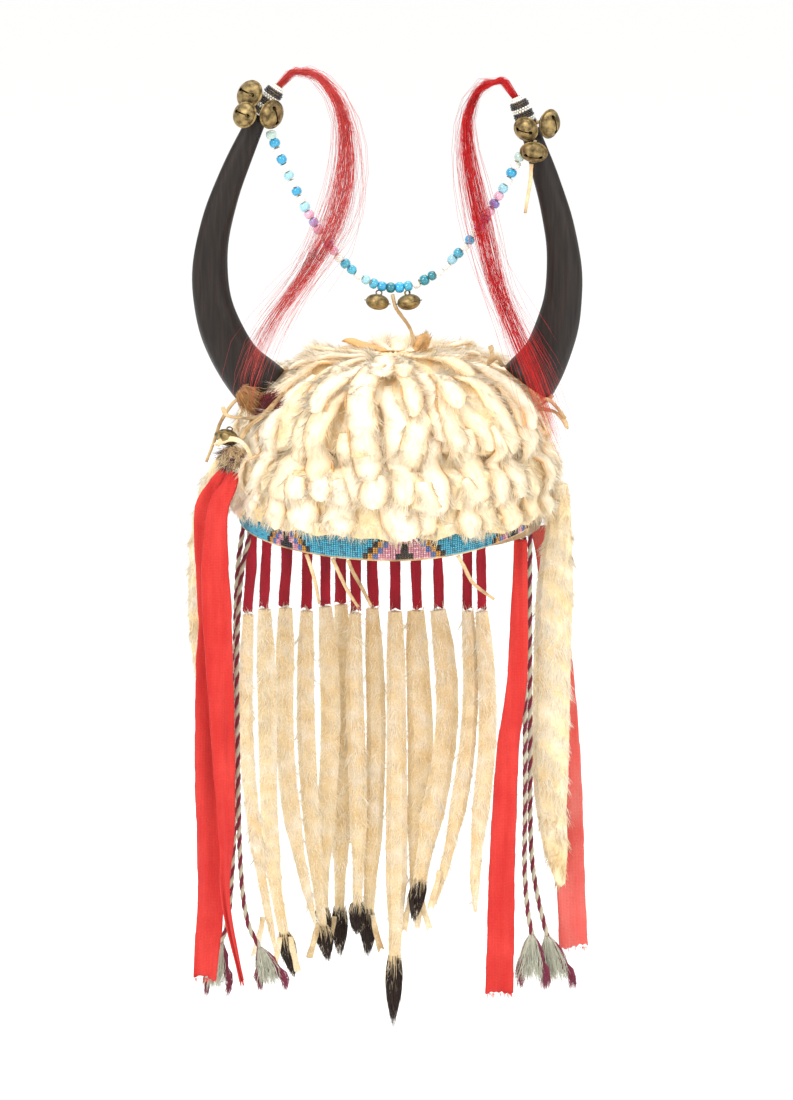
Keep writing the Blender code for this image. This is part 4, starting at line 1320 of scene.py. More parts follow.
@dataclass
class BrowBand:
    """The brow band: upright rows of glass seed beads in stepped triangles on a turquoise ground."""

    finishes: Finishes
    first_deg: float = -195.5
    last_deg: float = -31.4
    step_rows: int = 3
    step_columns: int = 2

    def tone(self, column: int, row: int, middles: Sequence[tuple[int, int]]) -> Paint:
        """The bead's colour at this column and row, from the foot of the band.

        Args:
            column: its column from the left.
            row: its row from the foot.
            middles: each motif's middle column and half-width.

        Returns:
            The paint.
        """
        middle, half = min(middles, key=lambda m: abs(m[0] - column))
        away = abs(column - middle)
        inside = half - self.step_columns * (row // self.step_rows) - away
        if inside < 0:
            return Paint.DEEP_TURQUOISE if wobble(column * 3 + row, 0.3) > 0.55 else Paint.TURQUOISE
        if (row < 3 and away <= 3) or (row < 8 and away <= 1):
            return Paint.BLACK_BEAD
        if inside < 2:
            return Paint.BLACK_BEAD
        if inside < 4:
            return Paint.GOLD_BEAD
        if inside < 6:
            return Paint.BLUE_BEAD
        return Paint.PALE_PINK_BEAD if wobble(column * 5 + row, 0.7) > 0.35 else Paint.PINK_BEAD

    def build(self) -> None:
        """Lays the beads against the band's face."""
        dress("brow_band", self.finishes.hide)
        skin = Skin("brow_band")
        turns = np.radians(np.linspace(self.first_deg, self.last_deg, 2400))
        wide, deep = CAP_HALF_WIDTH + BAND_FACE, CAP_HALF_DEPTH + BAND_FACE
        face = np.column_stack([wide * np.cos(turns), deep * np.sin(turns), 0 * turns])
        run = np.concatenate([[0], np.cumsum(np.linalg.norm(np.diff(face, axis=0), axis=1))])
        columns = int(run[-1] / SEED_ROUND)
        at = np.interp((np.arange(columns) + 0.5) / columns * run[-1], run, turns)
        middles = [(int(np.abs(np.degrees(at) - m.middle_deg).argmin()), m.half) for m in MOTIFS]
        rows = int((BAND_TALL - 0.0014) / SEED_LONG)
        places, axes, tints, sizes = [], [], [], []
        for column, turn in enumerate(at):
            front, right = max(0.0, -math.sin(turn)), max(0.0, math.cos(turn))
            low = -BAND_DIP * front**2 + BAND_RISE_RIGHT * right**2 + 0.0010
            out = Vector((math.cos(turn), math.sin(turn), 0))
            for row in range(rows):
                height = low + 0.0011 + (row + 0.5) * SEED_LONG
                hit = skin.meet(out * 0.14 + Vector((0, 0, height)), -out)
                if not hit:
                    continue
                share = (row + 0.5) / rows
                puff = 0.00030 + 0.0006 * math.sin(math.pi * share) + 0.00012 * wobble(column, row * 0.37)
                places.append(hit[0] + out * puff)
                axes.append((0.04 * wobble(column * 7 + row, 0.1), 0.04 * wobble(row * 5 + column, 0.9), 1.0))
                grain = 1 + 0.14 * wobble(column * 13 + row * 7, 0.5)
                tints.append(shade(self.tone(column, row, middles)) * grain)
                wide = SEED_ROUND * 0.49 * (1 + 0.06 * wobble(column * 3.3 + row, 0.2))
                sizes.append((wide, wide, SEED_LONG * 0.95))
        seed = turned(SEED_PROFILE, 6)
        mesh = copies("band_seed_beads", seed, *(np.array(a) for a in (places, axes, sizes, tints)))
        put("band_seed_beads", mesh, self.finishes.seed, "beadwork")
        LOG.info("brow band: %d seed beads in %d columns", len(places), columns)


@dataclass(frozen=True)
class HornPlan:
    """Where one horn stands, as in the part: half-span and height of base and tip, and its bow."""

    side: int
    name: str
    base_out: float
    base_up: float
    tip_out: float
    tip_up: float
    bow: float
    lean: tuple[float, float, float]

    def route(self, count: int) -> Points:
        """The horn's middle line.

        Args:
            count: how many places.

        Returns:
            The places from base to tip, in metres.
        """
        rows = []
        for i in range(12):
            s = i / 11
            out = self.base_out + (self.tip_out - self.base_out) * s + self.bow * math.sin(math.pi * s**0.80)
            up = self.base_up + (self.tip_up - self.base_up) * s
            rows.append((self.side * out, -HORN_FORWARD - HORN_DRIFT * s, up))
        return smooth_line(rows, count)

    def stalk(self) -> tuple[Vector, Vector]:
        """The foot of the beaded stalk on the horn's tip, and how the stalk runs.

        Returns:
            The foot and the run, in metres.
        """
        lean = Vector(self.lean)
        foot = Vector((self.side * self.tip_out, -HORN_FORWARD - HORN_DRIFT, self.tip_up))
        return foot + lean.normalized() * 0.0011, lean


HORNS = (
    HornPlan(-1, "left", 0.0830, 0.090, 0.0850, 0.2650, 0.0330, (0.0100, 0.0, 0.0150)),
    HornPlan(1, "right", 0.0853, 0.0942, 0.0855, 0.2560, 0.0225, (-0.0070, 0.0, 0.0165)),
)


@dataclass
class Horns:
    """Both horns with their beaded stalks.

    Attributes:
        finishes: the materials.
        pattern: the stalk's bead rows from its foot, b for black and w for white.
        round_count: how many beads go round the stalk.
    """

    finishes: Finishes
    pattern: str = "bbbwwbbbwwbbbww"
    round_count: int = 19

    def horn(self, plan: HornPlan) -> None:
        """One polished horn.

        Args:
            plan: where it stands.
        """
        places = (0, 0.12, 0.35, 0.6, 0.8, 1)
        shares = (1.0, 0.84, 0.68, 0.54, 0.45, 0.33)

        def wide(s: float) -> float:
            """The half-width at this share."""
            return HORN_BASE_WIDE / 2 * float(np.interp(s, places, shares))

        def uneven(turn: float, s: float) -> float:
            """Long shallow facets and growth rings."""
            facets = 1 + 0.012 * math.sin(5 * turn + 3 * s) + 0.008 * math.sin(11 * turn - 9 * s)
            return facets + 0.01 * math.sin(s * 31)

        mesh = sweep(
            f"polished_horn_{plan.name}", plan.route(48), wide, lambda s: wide(s) * HORN_FLATNESS, 40,
            uneven=uneven,
        )
        put(mesh.name, mesh, self.finishes.horn, "horn", f"horn_{plan.name}")

    def wrap(self, plan: HornPlan) -> None:
        """Rows of white seed beads with black rows between them, wound round the stalk.

        Args:
            plan: the horn that the stalk is on.
        """
        node = f"bead_wrap_{plan.name}"
        dress(node, self.finishes.hide)
        skin = Skin(node)
        foot, lean = plan.stalk()
        axis = lean.normalized()
        side = axis.cross(Vector((0, 1, 0))).normalized()
        other = axis.cross(side)
        places, axes, sizes, tints = [], [], [], []
        for row, code in enumerate(self.pattern):
            height = 0.0009 + row * 0.00141
            for k in range(self.round_count):
                turn = 2 * math.pi * (k + 0.5 * (row % 2)) / self.round_count
                out = side * math.cos(turn) + other * math.sin(turn)
                hit = skin.meet(foot + axis * height + out * 0.03, -out)
                if not hit:
                    continue
                places.append(hit[0] + out * 0.0003)
                axes.append(axis.cross(out))
                sizes.append((SEED_ROUND * 0.5, SEED_ROUND * 0.5, SEED_LONG * 1.15))
                paint = Paint.BLACK_BEAD if code == "b" else Paint.WHITE_BEAD
                tints.append(shade(paint) * (1 + 0.08 * wobble(k, row)))
        seed = turned(SEED_PROFILE, 8)
        mesh = copies(f"stalk_beads_{plan.name}", seed, *(np.array(a) for a in (places, axes, sizes, tints)))
        put(mesh.name, mesh, self.finishes.seed, "seed_wrap")

    def build(self) -> None:
        """Makes both sides."""
        for plan in HORNS:
            self.horn(plan)
            self.wrap(plan)


STRING_LEFT = (
    "CLEAR COBALT WHITE COBALT WHITE SKY WHITE COBALT WHITE SKY ROSE LAVENDER ROSE WHITE PURPLE ROSE "
    "WHITE TURQUOISE TURQUOISE WHITE SKY TURQUOISE COBALT"
)
STRING_RIGHT = (
    "TEAL COBALT TURQUOISE WHITE TEAL TEAL WHITE WHITE SKY TURQUOISE WHITE COBALT WHITE PURPLE PURPLE ROSE "
    "PURPLE ROSE SKY WHITE COBALT WHITE CLEAR"
)


@dataclass
class BeadString:
    """The string of glass beads that hangs in a bow between the horn tips."""

    finishes: Finishes

    def point(self, across: float) -> tuple[float, float, float]:
        """The string's line from the left tip (-1) to the right tip (1).

        Args:
            across: how far across, from -1 to 1.

        Returns:
            The place in metres.
        """
        reach, rise = (0.0780, 0.1010) if across < 0 else (0.0800, 0.0870)
        s = abs(across)
        return math.copysign(reach * s, across), -0.016 - 0.012 * s**1.5, STRING_SAG_LEVEL + rise * s**2

    def build(self) -> None:
        """Threads the beads on their thong."""
        names = (STRING_LEFT + " " + STRING_RIGHT).split()
        line = smooth_line([self.point(-1 + 2 * i / 24) for i in range(25)], 2 * len(names) + 1)
        middles = line[1::2]
        along = unit(line[2::2] - line[:-1:2])
        rng = np.random.default_rng(8)
        along = unit(along + rng.normal(scale=0.09, size=along.shape))
        paints = [Paint.TURQUOISE if n == "TURQUOISE" else Paint[f"{n}_BEAD"] for n in names]
        tints = np.array([shade(p) for p in paints]) * rng.uniform(0.85, 1.1, (len(names), 1))
        wide = BEAD_ROUND / 2 * rng.uniform(0.90, 1.06, len(names))
        long = BEAD_ROUND * rng.uniform(0.72, 0.86, len(names))
        profile = ((0.26, -0.38), (0.50, -0.50), (0.80, -0.42), (0.97, -0.20), (1.0, 0.0))
        profile += tuple((r, -z) for r, z in reversed(profile[:-1]))
        sizes = np.column_stack([wide, wide, long])
        mesh = copies("glass_bead_string", turned(profile, 20), middles, along, sizes, tints)
        put(mesh.name, mesh, self.finishes.glass, "glass_bead", "bead_string")
        thong = sweep("string_thong", line, lambda s: 0.0009, lambda s: 0.0009, 8)
        put(thong.name, thong, self.finishes.hide, "hide")


@dataclass(frozen=True)
class BellPlan:
    """A hawk bell, as in the part: its middle in millimetres, size share, lug's way and reach, slit's turn."""

    name: str
    x: float
    y: float
    z: float
    size: float
    lug: tuple[float, float, float]
    reach: float
    slit: float


BELLS = (
    BellPlan("bell_left_upper", -90.1, -34.8, 279.35, 1.05, (0.45, 0.75, -0.35), 1.9, 0),
    BellPlan("bell_left_lower", -92.9, -43.6, 267.4, 0.95, (0.45, 0.85, -0.30), 1.9, 0),
    BellPlan("bell_left_inner", -76.3, -38.8, 267.2, 1.05, (-0.62, 0.75, 0.12), 1.9, 78),
    BellPlan("bell_right_inner", 82.5, -38.5, 258.0, 0.92, (0.35, 0.85, 0.25), 1.9, 0),
    BellPlan("bell_right_outer", 97.4, -33.4, 260.8, 1.05, (-0.70, 0.65, 0.05), 1.9, 80),
    BellPlan("bell_right_lower", 87.5, -37.7, 243.5, 1.0, (0.10, 0.75, 0.60), 1.9, 0),
    BellPlan("bell_centre_left", -10.5, -18.5, 146.25, 0.97, (0.16, 0.10, 0.97), 1.28, 0),
    BellPlan("bell_centre_right", 9.5, -18.5, 146.15, 0.97, (-0.16, 0.10, 0.97), 1.28, 0),
    BellPlan("bell_side_left", -105.8, -43.8, 63.3, 0.95, (0.25, 0.5, 0.8), 1.28, 0),
)


@dataclass
class Bells:
    """Hollow brass hawk bells, each with a flange, a slit that ends in round holes, and a lug.

    Attributes:
        finishes: the materials.
        least_reach: how far a lug's tie reaches, in half-widths, before it is a piece of hide of its own.
    """

    finishes: Finishes
    least_reach: float = 1.5

    def template(self) -> bpy.types.Mesh:
        """One bell of radius 1 about +Z with its slit cut through the lower shell.

        Returns:
            The mesh.
        """
        outer = [(math.cos(a), math.sin(a) * 0.96) for a in np.linspace(-math.pi / 2, math.pi / 2, 22)]
        profile = [(max(r, 0.0), z) for r, z in outer]
        flange = [(0.99, -0.06), (1.13, -0.05), (1.15, 0.0), (1.13, 0.05), (0.99, 0.06)]
        low = [p for p in profile if p[1] < -0.08]
        high = [p for p in profile if p[1] > 0.08]
        inside = [(r * 0.88, z * 0.88) for r, z in reversed(profile)]
        points, triangles = turned(low + flange + high, 36)
        hollow, faces = turned(inside, 24)
        every = np.vstack([points, hollow])
        mesh = mesh_of("bell_shell", every, np.vstack([triangles, faces[:, ::-1] + len(points)]))
        cutter = bmesh.new()
        bmesh.ops.create_cube(cutter, size=1.0)
        bmesh.ops.scale(cutter, verts=cutter.verts, vec=(1.2, 0.13, 1.2))
        bmesh.ops.translate(cutter, verts=cutter.verts, vec=(0, 0, -0.80))
        for side in (-1, 1):
            hole = bmesh.ops.create_cone(
                cutter, cap_ends=True, segments=16, radius1=0.17, radius2=0.17, depth=1.0
            )["verts"]
            bmesh.ops.translate(cutter, verts=hole, vec=(0.60 * side, 0, -0.85))
        body = bpy.data.objects.new("bell_body", mesh)
        tool = bpy.data.objects.new("bell_tool", baked("bell_tool", cutter))
        for made in (body, tool):
            bpy.context.scene.collection.objects.link(made)
        cut = body.modifiers.new("slit", "BOOLEAN")
        cut.operation, cut.solver, cut.object, cut.use_self = "DIFFERENCE", "EXACT", tool, True
        bpy.context.view_layer.update()
        graph = bpy.context.evaluated_depsgraph_get()
        found = bpy.data.meshes.new_from_object(body.evaluated_get(graph))
        for made in (body, tool):
            bpy.data.objects.remove(made)
        return found

    def build(self) -> None:
        """Copies the bell to each place and hangs it on its lug."""
        shell = self.template()
        for plan in BELLS:
            half = BELL_ROUND * plan.size / 2
            axis = Vector(plan.lug).normalized()
            side = axis.cross(Vector((0.13, -0.31, 0.94))).normalized()
            side.rotate(Quaternion(axis, math.radians(plan.slit)))
            other = axis.cross(side)
            centre = Vector((plan.x, plan.y, plan.z)) * MM
            shape = bmesh.new()
            shape.from_mesh(shell)
            turns = np.linspace(0, 2 * math.pi, 21)
            loop = [(0.24 * math.cos(a), 0.0, 1.12 + 0.30 * math.sin(a)) for a in turns]
            shape.from_mesh(sweep("lug", np.array(loop), lambda s: 0.07, lambda s: 0.11, 8))
            for vertex in shape.verts:
                x, y, z = vertex.co
                vertex.co = centre + (side * x + other * y + axis * (z * BELL_FLAT)) * half
            if plan.reach > self.least_reach:
                start, end = (centre + axis * half * BELL_FLAT * reach for reach in (1.1, plan.reach))
                line = smooth_line([start, start.lerp(end, 0.5), end], 8)
                tie = sweep(f"tie_{plan.name}", line, lambda s: 0.0011, lambda s: 0.0008, 8)
                put(tie.name, tie, self.finishes.hide, "hide")
            mesh = baked(f"brass_{plan.name}", shape)
            mesh.set_sharp_from_angle(angle=math.radians(40))
            put(mesh.name, mesh, self.finishes.brass, "brass", plan.name)


@dataclass(frozen=True)
class PlumeRow:
    """A place on a plume: inward, down and ahead from its head, and its spread, in millimetres."""

    inward: float
    down: float
    ahead: float
    spread: float


LEFT_PLUME = (
    PlumeRow(0, 0, 0, 2.6),
    PlumeRow(5, -5, 0, 3.6),
    PlumeRow(15, -8, 2, 5),
    PlumeRow(29, 1, 6, 8),
    PlumeRow(39, 20, 8, 10),
    PlumeRow(41, 46, 10, 11),
    PlumeRow(38, 71, 12, 10),
    PlumeRow(30, 94, 15, 7),
    PlumeRow(14, 121, 20, 6),
    PlumeRow(-2, 142, 27, 7),
    PlumeRow(-14, 162, 35, 8),
    PlumeRow(-21, 182, 40, 6),
    PlumeRow(-24, 206, 44, 5),
)
RIGHT_PLUME = (
    PlumeRow(0, 0, 0, 2.6),
    PlumeRow(4, -6, 0, 3.6),
    PlumeRow(13, -9, 2, 5),
    PlumeRow(24, -1, 6, 8),
    PlumeRow(30, 17, 8, 9),
    PlumeRow(29, 40, 10, 9),
    PlumeRow(24, 66, 12, 8),
    PlumeRow(18, 92, 15, 7),
    PlumeRow(11, 119, 21, 8),
    PlumeRow(1, 144, 29, 10),
    PlumeRow(-11, 170, 37, 10),
    PlumeRow(-22, 200, 42, 8),
    PlumeRow(-35, 231, 46, 7),
)


@dataclass
class Plumes:
    """Dyed horsehair plumes that rise from the stalks, turn over and fall past the horns."""

    finishes: Finishes
    hairs: int = 190
    steps: int = 15

    def plume(self, plan: HornPlan, rows: Sequence[PlumeRow], paint: Paint, seed: int) -> None:
        """One plume with its stray hairs.

        Args:
            plan: the horn that it rises from.
            rows: the places along it.
            paint: its colour.
            seed: which pattern of chance it has.
        """
        rng = np.random.default_rng(seed)
        foot, lean = plan.stalk()
        head = foot + lean * 1.2 + lean.normalized() * 0.0029
        steps = [Vector((-plan.side * r.inward, -r.ahead, -r.down)) * MM for r in rows]
        route = [foot + lean * 1.02, *[head + step for step in steps]]
        last = 119
        line = smooth_line(route, last + 1)
        widths = [0.0022, *[r.spread * 0.66 * MM for r in rows]]
        spread = np.interp(np.linspace(0, 1, last + 1), np.linspace(0, 1, len(widths)), widths)
        along = unit(np.gradient(line, axis=0))
        side = unit(np.cross(along, [[0.0, 1.0, 0.0]]))
        deep = np.cross(along, side)
        ends = 1 - 0.32 * rng.random(self.hairs) ** 0.8
        at = np.linspace(0, 1, self.steps)[None] * ends[:, None] * last
        low = np.clip(at.astype(int), 0, last - 1)
        part = (at - low)[..., None]
        middle = line[low] * (1 - part) + line[low + 1] * part
        turn = rng.uniform(0, 2 * math.pi, self.hairs)[:, None]
        reach = np.sqrt(rng.random(self.hairs))[:, None]
        stray = (rng.random(self.hairs) < 0.34)[:, None]
        grow = np.linspace(0, 1, self.steps)[None] ** 0.7
        wild = np.where(stray, 1 + 1.6 * grow, 1.0)
        turn = turn + grow * rng.normal(scale=0.8, size=(self.hairs, 1))
        out = (reach * spread[low] * wild * 1.05)[..., None]
        paths = middle + side[low] * np.cos(turn)[..., None] * out
        paths = paths + deep[low] * np.sin(turn)[..., None] * out * 0.6
        sway = rng.normal(scale=1.0, size=(self.hairs, 1, 3)) * np.where(stray, 0.006, 0.0016)[..., None]
        paths = paths + sway * np.sin(np.linspace(0, 1, self.steps) * 5)[None, :, None] * grow[..., None]
        taper = np.interp(np.arange(self.steps), [0, 2, self.steps - 1], [0.09, 0.10, 0.07]) * MM
        radii = np.tile(taper, (self.hairs, 1))
        tone = shade(paint) * rng.uniform(0.6, 1.3, (self.hairs, 1))
        pale = rng.random(self.hairs) < 0.12
        tone[pale] = tone[pale] * 0.4 + shade(Paint.RED_CLOTH_WORN) * 0.6
        tints = np.repeat(tone[:, None], self.steps, axis=1)
        mesh = strands(f"horsehair_{plan.name}", paths, radii, tints)
        put(mesh.name, mesh, self.finishes.horsehair, "horsehair", f"plume_{plan.name}")

    def build(self) -> None:
        """Makes both plumes."""
        self.plume(HORNS[0], LEFT_PLUME, Paint.FADED_HAIR, 31)
        self.plume(HORNS[1], RIGHT_PLUME, Paint.RED_HAIR, 37)


@dataclass(frozen=True)
class DropPlan:
    """A fur drop: its tab's place across and setback, as in the part, and its dark tip, all in mm, then
    the warmth of its fur and the sides, l or r, that have a hide leg."""

    top: float
    setback: float
    dark: float
    warmth: float
    legs: str = ""


DROPS = (
    DropPlan(-98, 0, 0, 0.5, "l"),
    DropPlan(-88, 0, 26, 0.35, "lr"),
    DropPlan(-75, -3, 0, 0.45),
    DropPlan(-60, -6, 22, 0.6, "l"),
    DropPlan(-47, 0, 26, 0.75),
    DropPlan(-37, 8, 30, 0.6, "l"),
    DropPlan(-26, -8, 20, 0.3),
    DropPlan(-14, 0, 28, 0.65, "r"),
    DropPlan(1, -8, 40, 0.3),
    DropPlan(16, 1, 0, 0.7, "lr"),
    DropPlan(31, -6, 26, 0.5),
    DropPlan(50, -7, 0, 0.6, "l"),
    DropPlan(60, -4, 0, 0.35),
)


@dataclass
class FurDrops:
    """The long fur drops at the back, each hanging from a crimson tab, many with a dark tail tip."""

    finishes: Finishes
    hairs: int = 1650
    coat: Coat = Coat(0.0068, 0.00019, 0.34, 0.42, 0.012)

    def build(self) -> None:
        """Grows each drop's fur over its own skin."""
        for index, plan in enumerate(DROPS):
            node = f"fur_drop_{index + 1:02d}"
            dress(node, self.finishes.drop_pelt)
            rng = np.random.default_rng(50 + index)
            roots, normals = Skin(node).scatter(self.hairs, rng)
            low, high = roots[:, 2].min(), roots[:, 2].max()
            warm = np.clip(plan.warmth * 0.7 - 0.2 + 0.35 * ripple(roots, 0.09, index)[:, 0], 0, 1)[:, None]
            tints = warmed(warm)
            tan = rng.random(len(roots)) < 0.02 + 0.06 * plan.warmth
            tints[tan] = tints[tan] * 0.6 + shade(Paint.TAN_FUR) * 0.4
            tints = tints * rng.uniform(0.85, 1.05, (len(roots), 1))
            flow = np.array([[0.0, 0.0, 1.0]]) * np.where(roots[:, 2:] > high - 0.004, 0.7, -1.0)
            mesh = self.coat.grow(f"hair_drop_{index + 1:02d}", roots, normals, flow, tints, rng)
            put(mesh.name, mesh, self.finishes.long_fur, "drop_fur")
            if plan.dark:
                self.tail(index, roots, low, plan.dark * MM, rng)
            if plan.legs:
                self.legs(index, plan.legs, roots, low)

    def legs(self, index: int, sides: str, roots: Points, low: float) -> None:
        """The flat bare hide of a skin's legs at a drop's lower end, at its left or right side.

        Args:
            index: the drop's number from 0.
            sides: l or r for each leg.
            roots: places on the drop's skin.
            low: the height of its lower end.
        """
        for side in sides:
            out = 1 if side == "r" else -1
            level = low + 0.025
            start = roots[np.abs(roots[:, 2] - level) < 0.005].mean(axis=0) + [out * 0.0035, -0.0042, 0]
            tip = (out * 5.2 + 0.8 * wobble(index, out), -25 - 2 * wobble(out, index))
            steps = ((0, 0), (out * 1.2, -8), (out * 3.2, -16), tip)
            route = smooth_line([start + np.array([x, -0.4, z]) * MM for x, z in steps], 16)
            name = f"hide_leg_{index + 1:02d}_{side}"
            # Its free length stays under that of the shortest cord.
            ribbon = Ribbon(name, route, lambda s: 0.0016 + 0.0007 * s, 0.0009, 0.0006, index + out)
            put(name, ribbon.build(4, 26, 0.0015), self.finishes.pale_hide, "drop_fur")

    def tail(self, index: int, roots: Points, low: float, long: float, rng: np.random.Generator) -> None:
        """The black hair of a drop's tail tip.

        Args:
            index: the drop's number from 0.
            roots: places on the drop's skin.
            low: the height of its lower end.
            long: how far up the dark hair starts.
            rng: the source of chance.
        """
        count, steps = 600, 4
        foot = roots[roots[:, 2] < low + 0.004].mean(axis=0)
        neck = roots[np.abs(roots[:, 2] - low - long) < 0.004].mean(axis=0)
        at = np.linspace(0, 1, steps)[None, :, None]
        turn, reach = rng.uniform(0, 2 * math.pi, count), np.sqrt(rng.random(count))
        ring = np.column_stack([np.cos(turn), np.sin(turn) * 0.8, 0 * turn]) * reach[:, None]
        begin = rng.uniform(-0.08, 0.72, (count, 1, 1))
        along = begin + rng.uniform(0.36, 0.66, (count, 1, 1)) * at
        line = neck + (foot - neck) * along
        fat = np.interp(along, [-0.1, 0.0, 0.3, 0.6, 0.95, 1.38], [3.8, 4.6, 6.0, 5.6, 3.4, 0.3]) * MM
        wave = rng.normal(scale=0.0006, size=(count, 1, 3)) * at**2
        paths = line + ring[:, None] * fat + wave
        radii = np.tile([0.00022, 0.00024, 0.00020, 0.0], (count, 1))
        tone = shade(Paint.BLACK_FUR) * rng.uniform(0.6, 2.2, (count, 1))
        pale = (begin[:, 0, 0] < 0.06) & (rng.random(count) < 0.6)
        tone[pale] = shade(Paint.WARM_FUR) * 0.8
        mesh = strands(f"tail_drop_{index + 1:02d}", paths, radii, np.repeat(tone[:, None], steps, axis=1))
        put(mesh.name, mesh, self.finishes.fur, "drop_fur")


@dataclass
class SideSkins:
    """The two large side skins with long soft fur."""

    finishes: Finishes
    hairs: int = 6000
    coat: Coat = Coat(0.0078, 0.00019, 0.34, 0.40, 0.014)

    def build(self) -> None:
        """Grows the fur of both skins."""
        for index, node in enumerate(("fur_skin_left", "fur_skin_right")):
            dress(node, self.finishes.pelt)
            rng = np.random.default_rng(70 + index)
            roots, normals = Skin(node).scatter(self.hairs, rng)
            cloud = ripple(roots, 0.05, 4 + index)[:, 0]
            warm = np.clip(0.25 + 0.5 * cloud, 0, 1)[:, None]
            tints = warmed(warm)
            low = roots[:, 2] < roots[:, 2].min() + 0.022
            tan = (rng.random(len(roots)) < 0.5) & (cloud > 0.45) | low
            tints[tan] = tints[tan] * 0.4 + shade(Paint.TAN_FUR) * 0.6
            tints = tints * rng.uniform(0.88, 1.05, (len(roots), 1))
            flow = np.tile([0.0, 0.0, -1.0], (len(roots), 1))
            mesh = self.coat.grow(f"hair_{node}", roots, normals, flow, tints, rng)
            put(mesh.name, mesh, self.finishes.fur, "skin_fur")


def shares(*rows: tuple[float, float]) -> Callable[[float], float]:
    """A half-width in millimetres by share of the route, as metres."""
    places, values = zip(*rows)
    return lambda s: MM * float(np.interp(s, places, values))


def millimetres(*rows: tuple[float, float, float]) -> Points:
    """Route points given in millimetres, as metres."""
    return np.array(rows, float) * MM


STREAMERS = (
    Ribbon(
        "red_streamer_left_wide",
        millimetres(
            (-106, -46, 42.7), (-112.5, -46, 32), (-118.5, -46, 14), (-118, -46, -22), (-116, -46, -70),
            (-116.5, -46, -120), (-117, -46, -165), (-119.5, -46, -210), (-119.5, -46, -245),
            (-123.5, -46, -295),
        ),
        shares((0, 4), (0.08, 8.5), (0.3, 9), (0.38, 11.5), (0.62, 11.5), (0.74, 8.6), (0.9, 8.6), (1, 7.2)),
        0.0009,
        0.0032,
        1,
    ),
    Ribbon(
        "red_streamer_left_slim",
        millimetres(
            (-101.8, -48.8, 42.2), (-105, -55, 33), (-111.5, -57, 20), (-113.5, -58, -12), (-112.5, -58, -45),
            (-110.5, -58, -108), (-109.5, -58, -148), (-108, -58, -195), (-108.5, -58, -241), (-99, -58, -293),
        ),
        shares(
            (0, 4), (0.07, 6.5), (0.17, 8.4), (0.26, 9), (0.45, 7.8), (0.57, 7), (0.7, 5.6), (0.76, 3.8),
            (0.85, 2.3), (1, 1.2),
        ),
        0.0009,
        0.0032,
        2,
    ),
    Ribbon(
        "red_streamer_right_front",
        millimetres(
            (80.5, -54.9, -0.5), (80.5, -54.9, -28.5), (78.5, -54.9, -92.5), (73.5, -54.9, -134.5),
            (71.5, -54.9, -178.5), (69.5, -54.9, -230.5), (68.5, -54.9, -302.5),
        ),
        shares((0, 4), (0.3, 6.5), (0.6, 8), (1, 9)),
        0.0009,
        0.0026,
        3,
    ),
    Ribbon(
        "red_streamer_right_rear",
        millimetres(
            (93.8, -12.1, -0.5), (99.8, -12.1, -28.5), (108.8, -12.1, -103.5), (112.8, -12.1, -157.5),
            (115.8, -12.1, -218.5), (118.8, -12.1, -284.5),
        ),
        shares((0, 6), (0.3, 9), (1, 9.5)),
        0.0009,
        0.0026,
        4,
    ),
)


@dataclass
class Streamers:
    """Bright red cloth streamers, two at each side, with frayed ends."""

    finishes: Finishes
    threads: int = 90

    def fray(self, ribbon: Ribbon, rng: np.random.Generator) -> tuple[Points, Points, Points]:
        """Loose threads at the foot and along the edges: their paths, half-widths and colours.

        Args:
            ribbon: the streamer.
            rng: the source of chance.

        Returns:
            Paths, half-widths and linear colours, a row for each thread.
        """
        count, last = self.threads, 99
        line = smooth_line(ribbon.route, last + 1)
        at = np.where(rng.random(count) < 0.45, last, rng.integers(5, last, count))
        foot = at == last
        u = np.where(foot, rng.uniform(-1, 1, count), np.where(rng.random(count) < 0.5, -1.0, 1.0))
        half = np.array([ribbon.half(a / last) for a in at])
        start = line[at] + np.column_stack([u * half * 0.97, 0 * u, 0 * u])
        aside, ahead = np.where(foot, 0.1, 0.8) * np.sign(u), rng.normal(scale=0.3, size=count)
        way = np.column_stack([aside, ahead, -np.ones(count)])
        long = np.where(foot, rng.uniform(1.5, 5, count), rng.uniform(0.6, 2.2, count))[:, None] * MM
        bend, end = start + unit(way) * long * 0.5, start + unit(way + [0.2, 0, -0.6]) * long
        paths = np.stack([start, bend, end], axis=1)
        radii = np.tile([0.00014, 0.00012, 0.0], (count, 1))
        tint = shade(Paint.RED_CLOTH_WORN) * rng.uniform(0.7, 1.2, (count, 1))
        return paths, radii, np.repeat(tint[:, None], 3, axis=1)

    def build(self) -> None:
        rng = np.random.default_rng(90)
        for ribbon in STREAMERS:
            node = ribbon.name.replace("red_", "")
            mesh = ribbon.build(10, 110, ragged=0.002)
            cloth = self.finishes.thin_cloth if node == "streamer_right_rear" else self.finishes.red_cloth
            piece = put(ribbon.name, mesh, cloth, "red_cloth", node)
            paths, radii, tints = self.fray(ribbon, rng)
            loose = strands(f"fray_{node}", paths, radii, tints)
            fray = put(loose.name, loose, self.finishes.wool, "red_cloth")
            wide = 2 * max(ribbon.half(s) for s in np.linspace(0, 1, 20))
            mean = 2 * float(np.mean([ribbon.half(s) for s in np.linspace(0, 1, 60)]))
            long = ribbon.length()


def rim_depth(across: float) -> float:
    """How far back the rim stands at this place across, in metres."""
    return CAP_HALF_DEPTH * math.sqrt(max(0.0, 1 - (across / (CAP_HALF_WIDTH + 0.004)) ** 2))


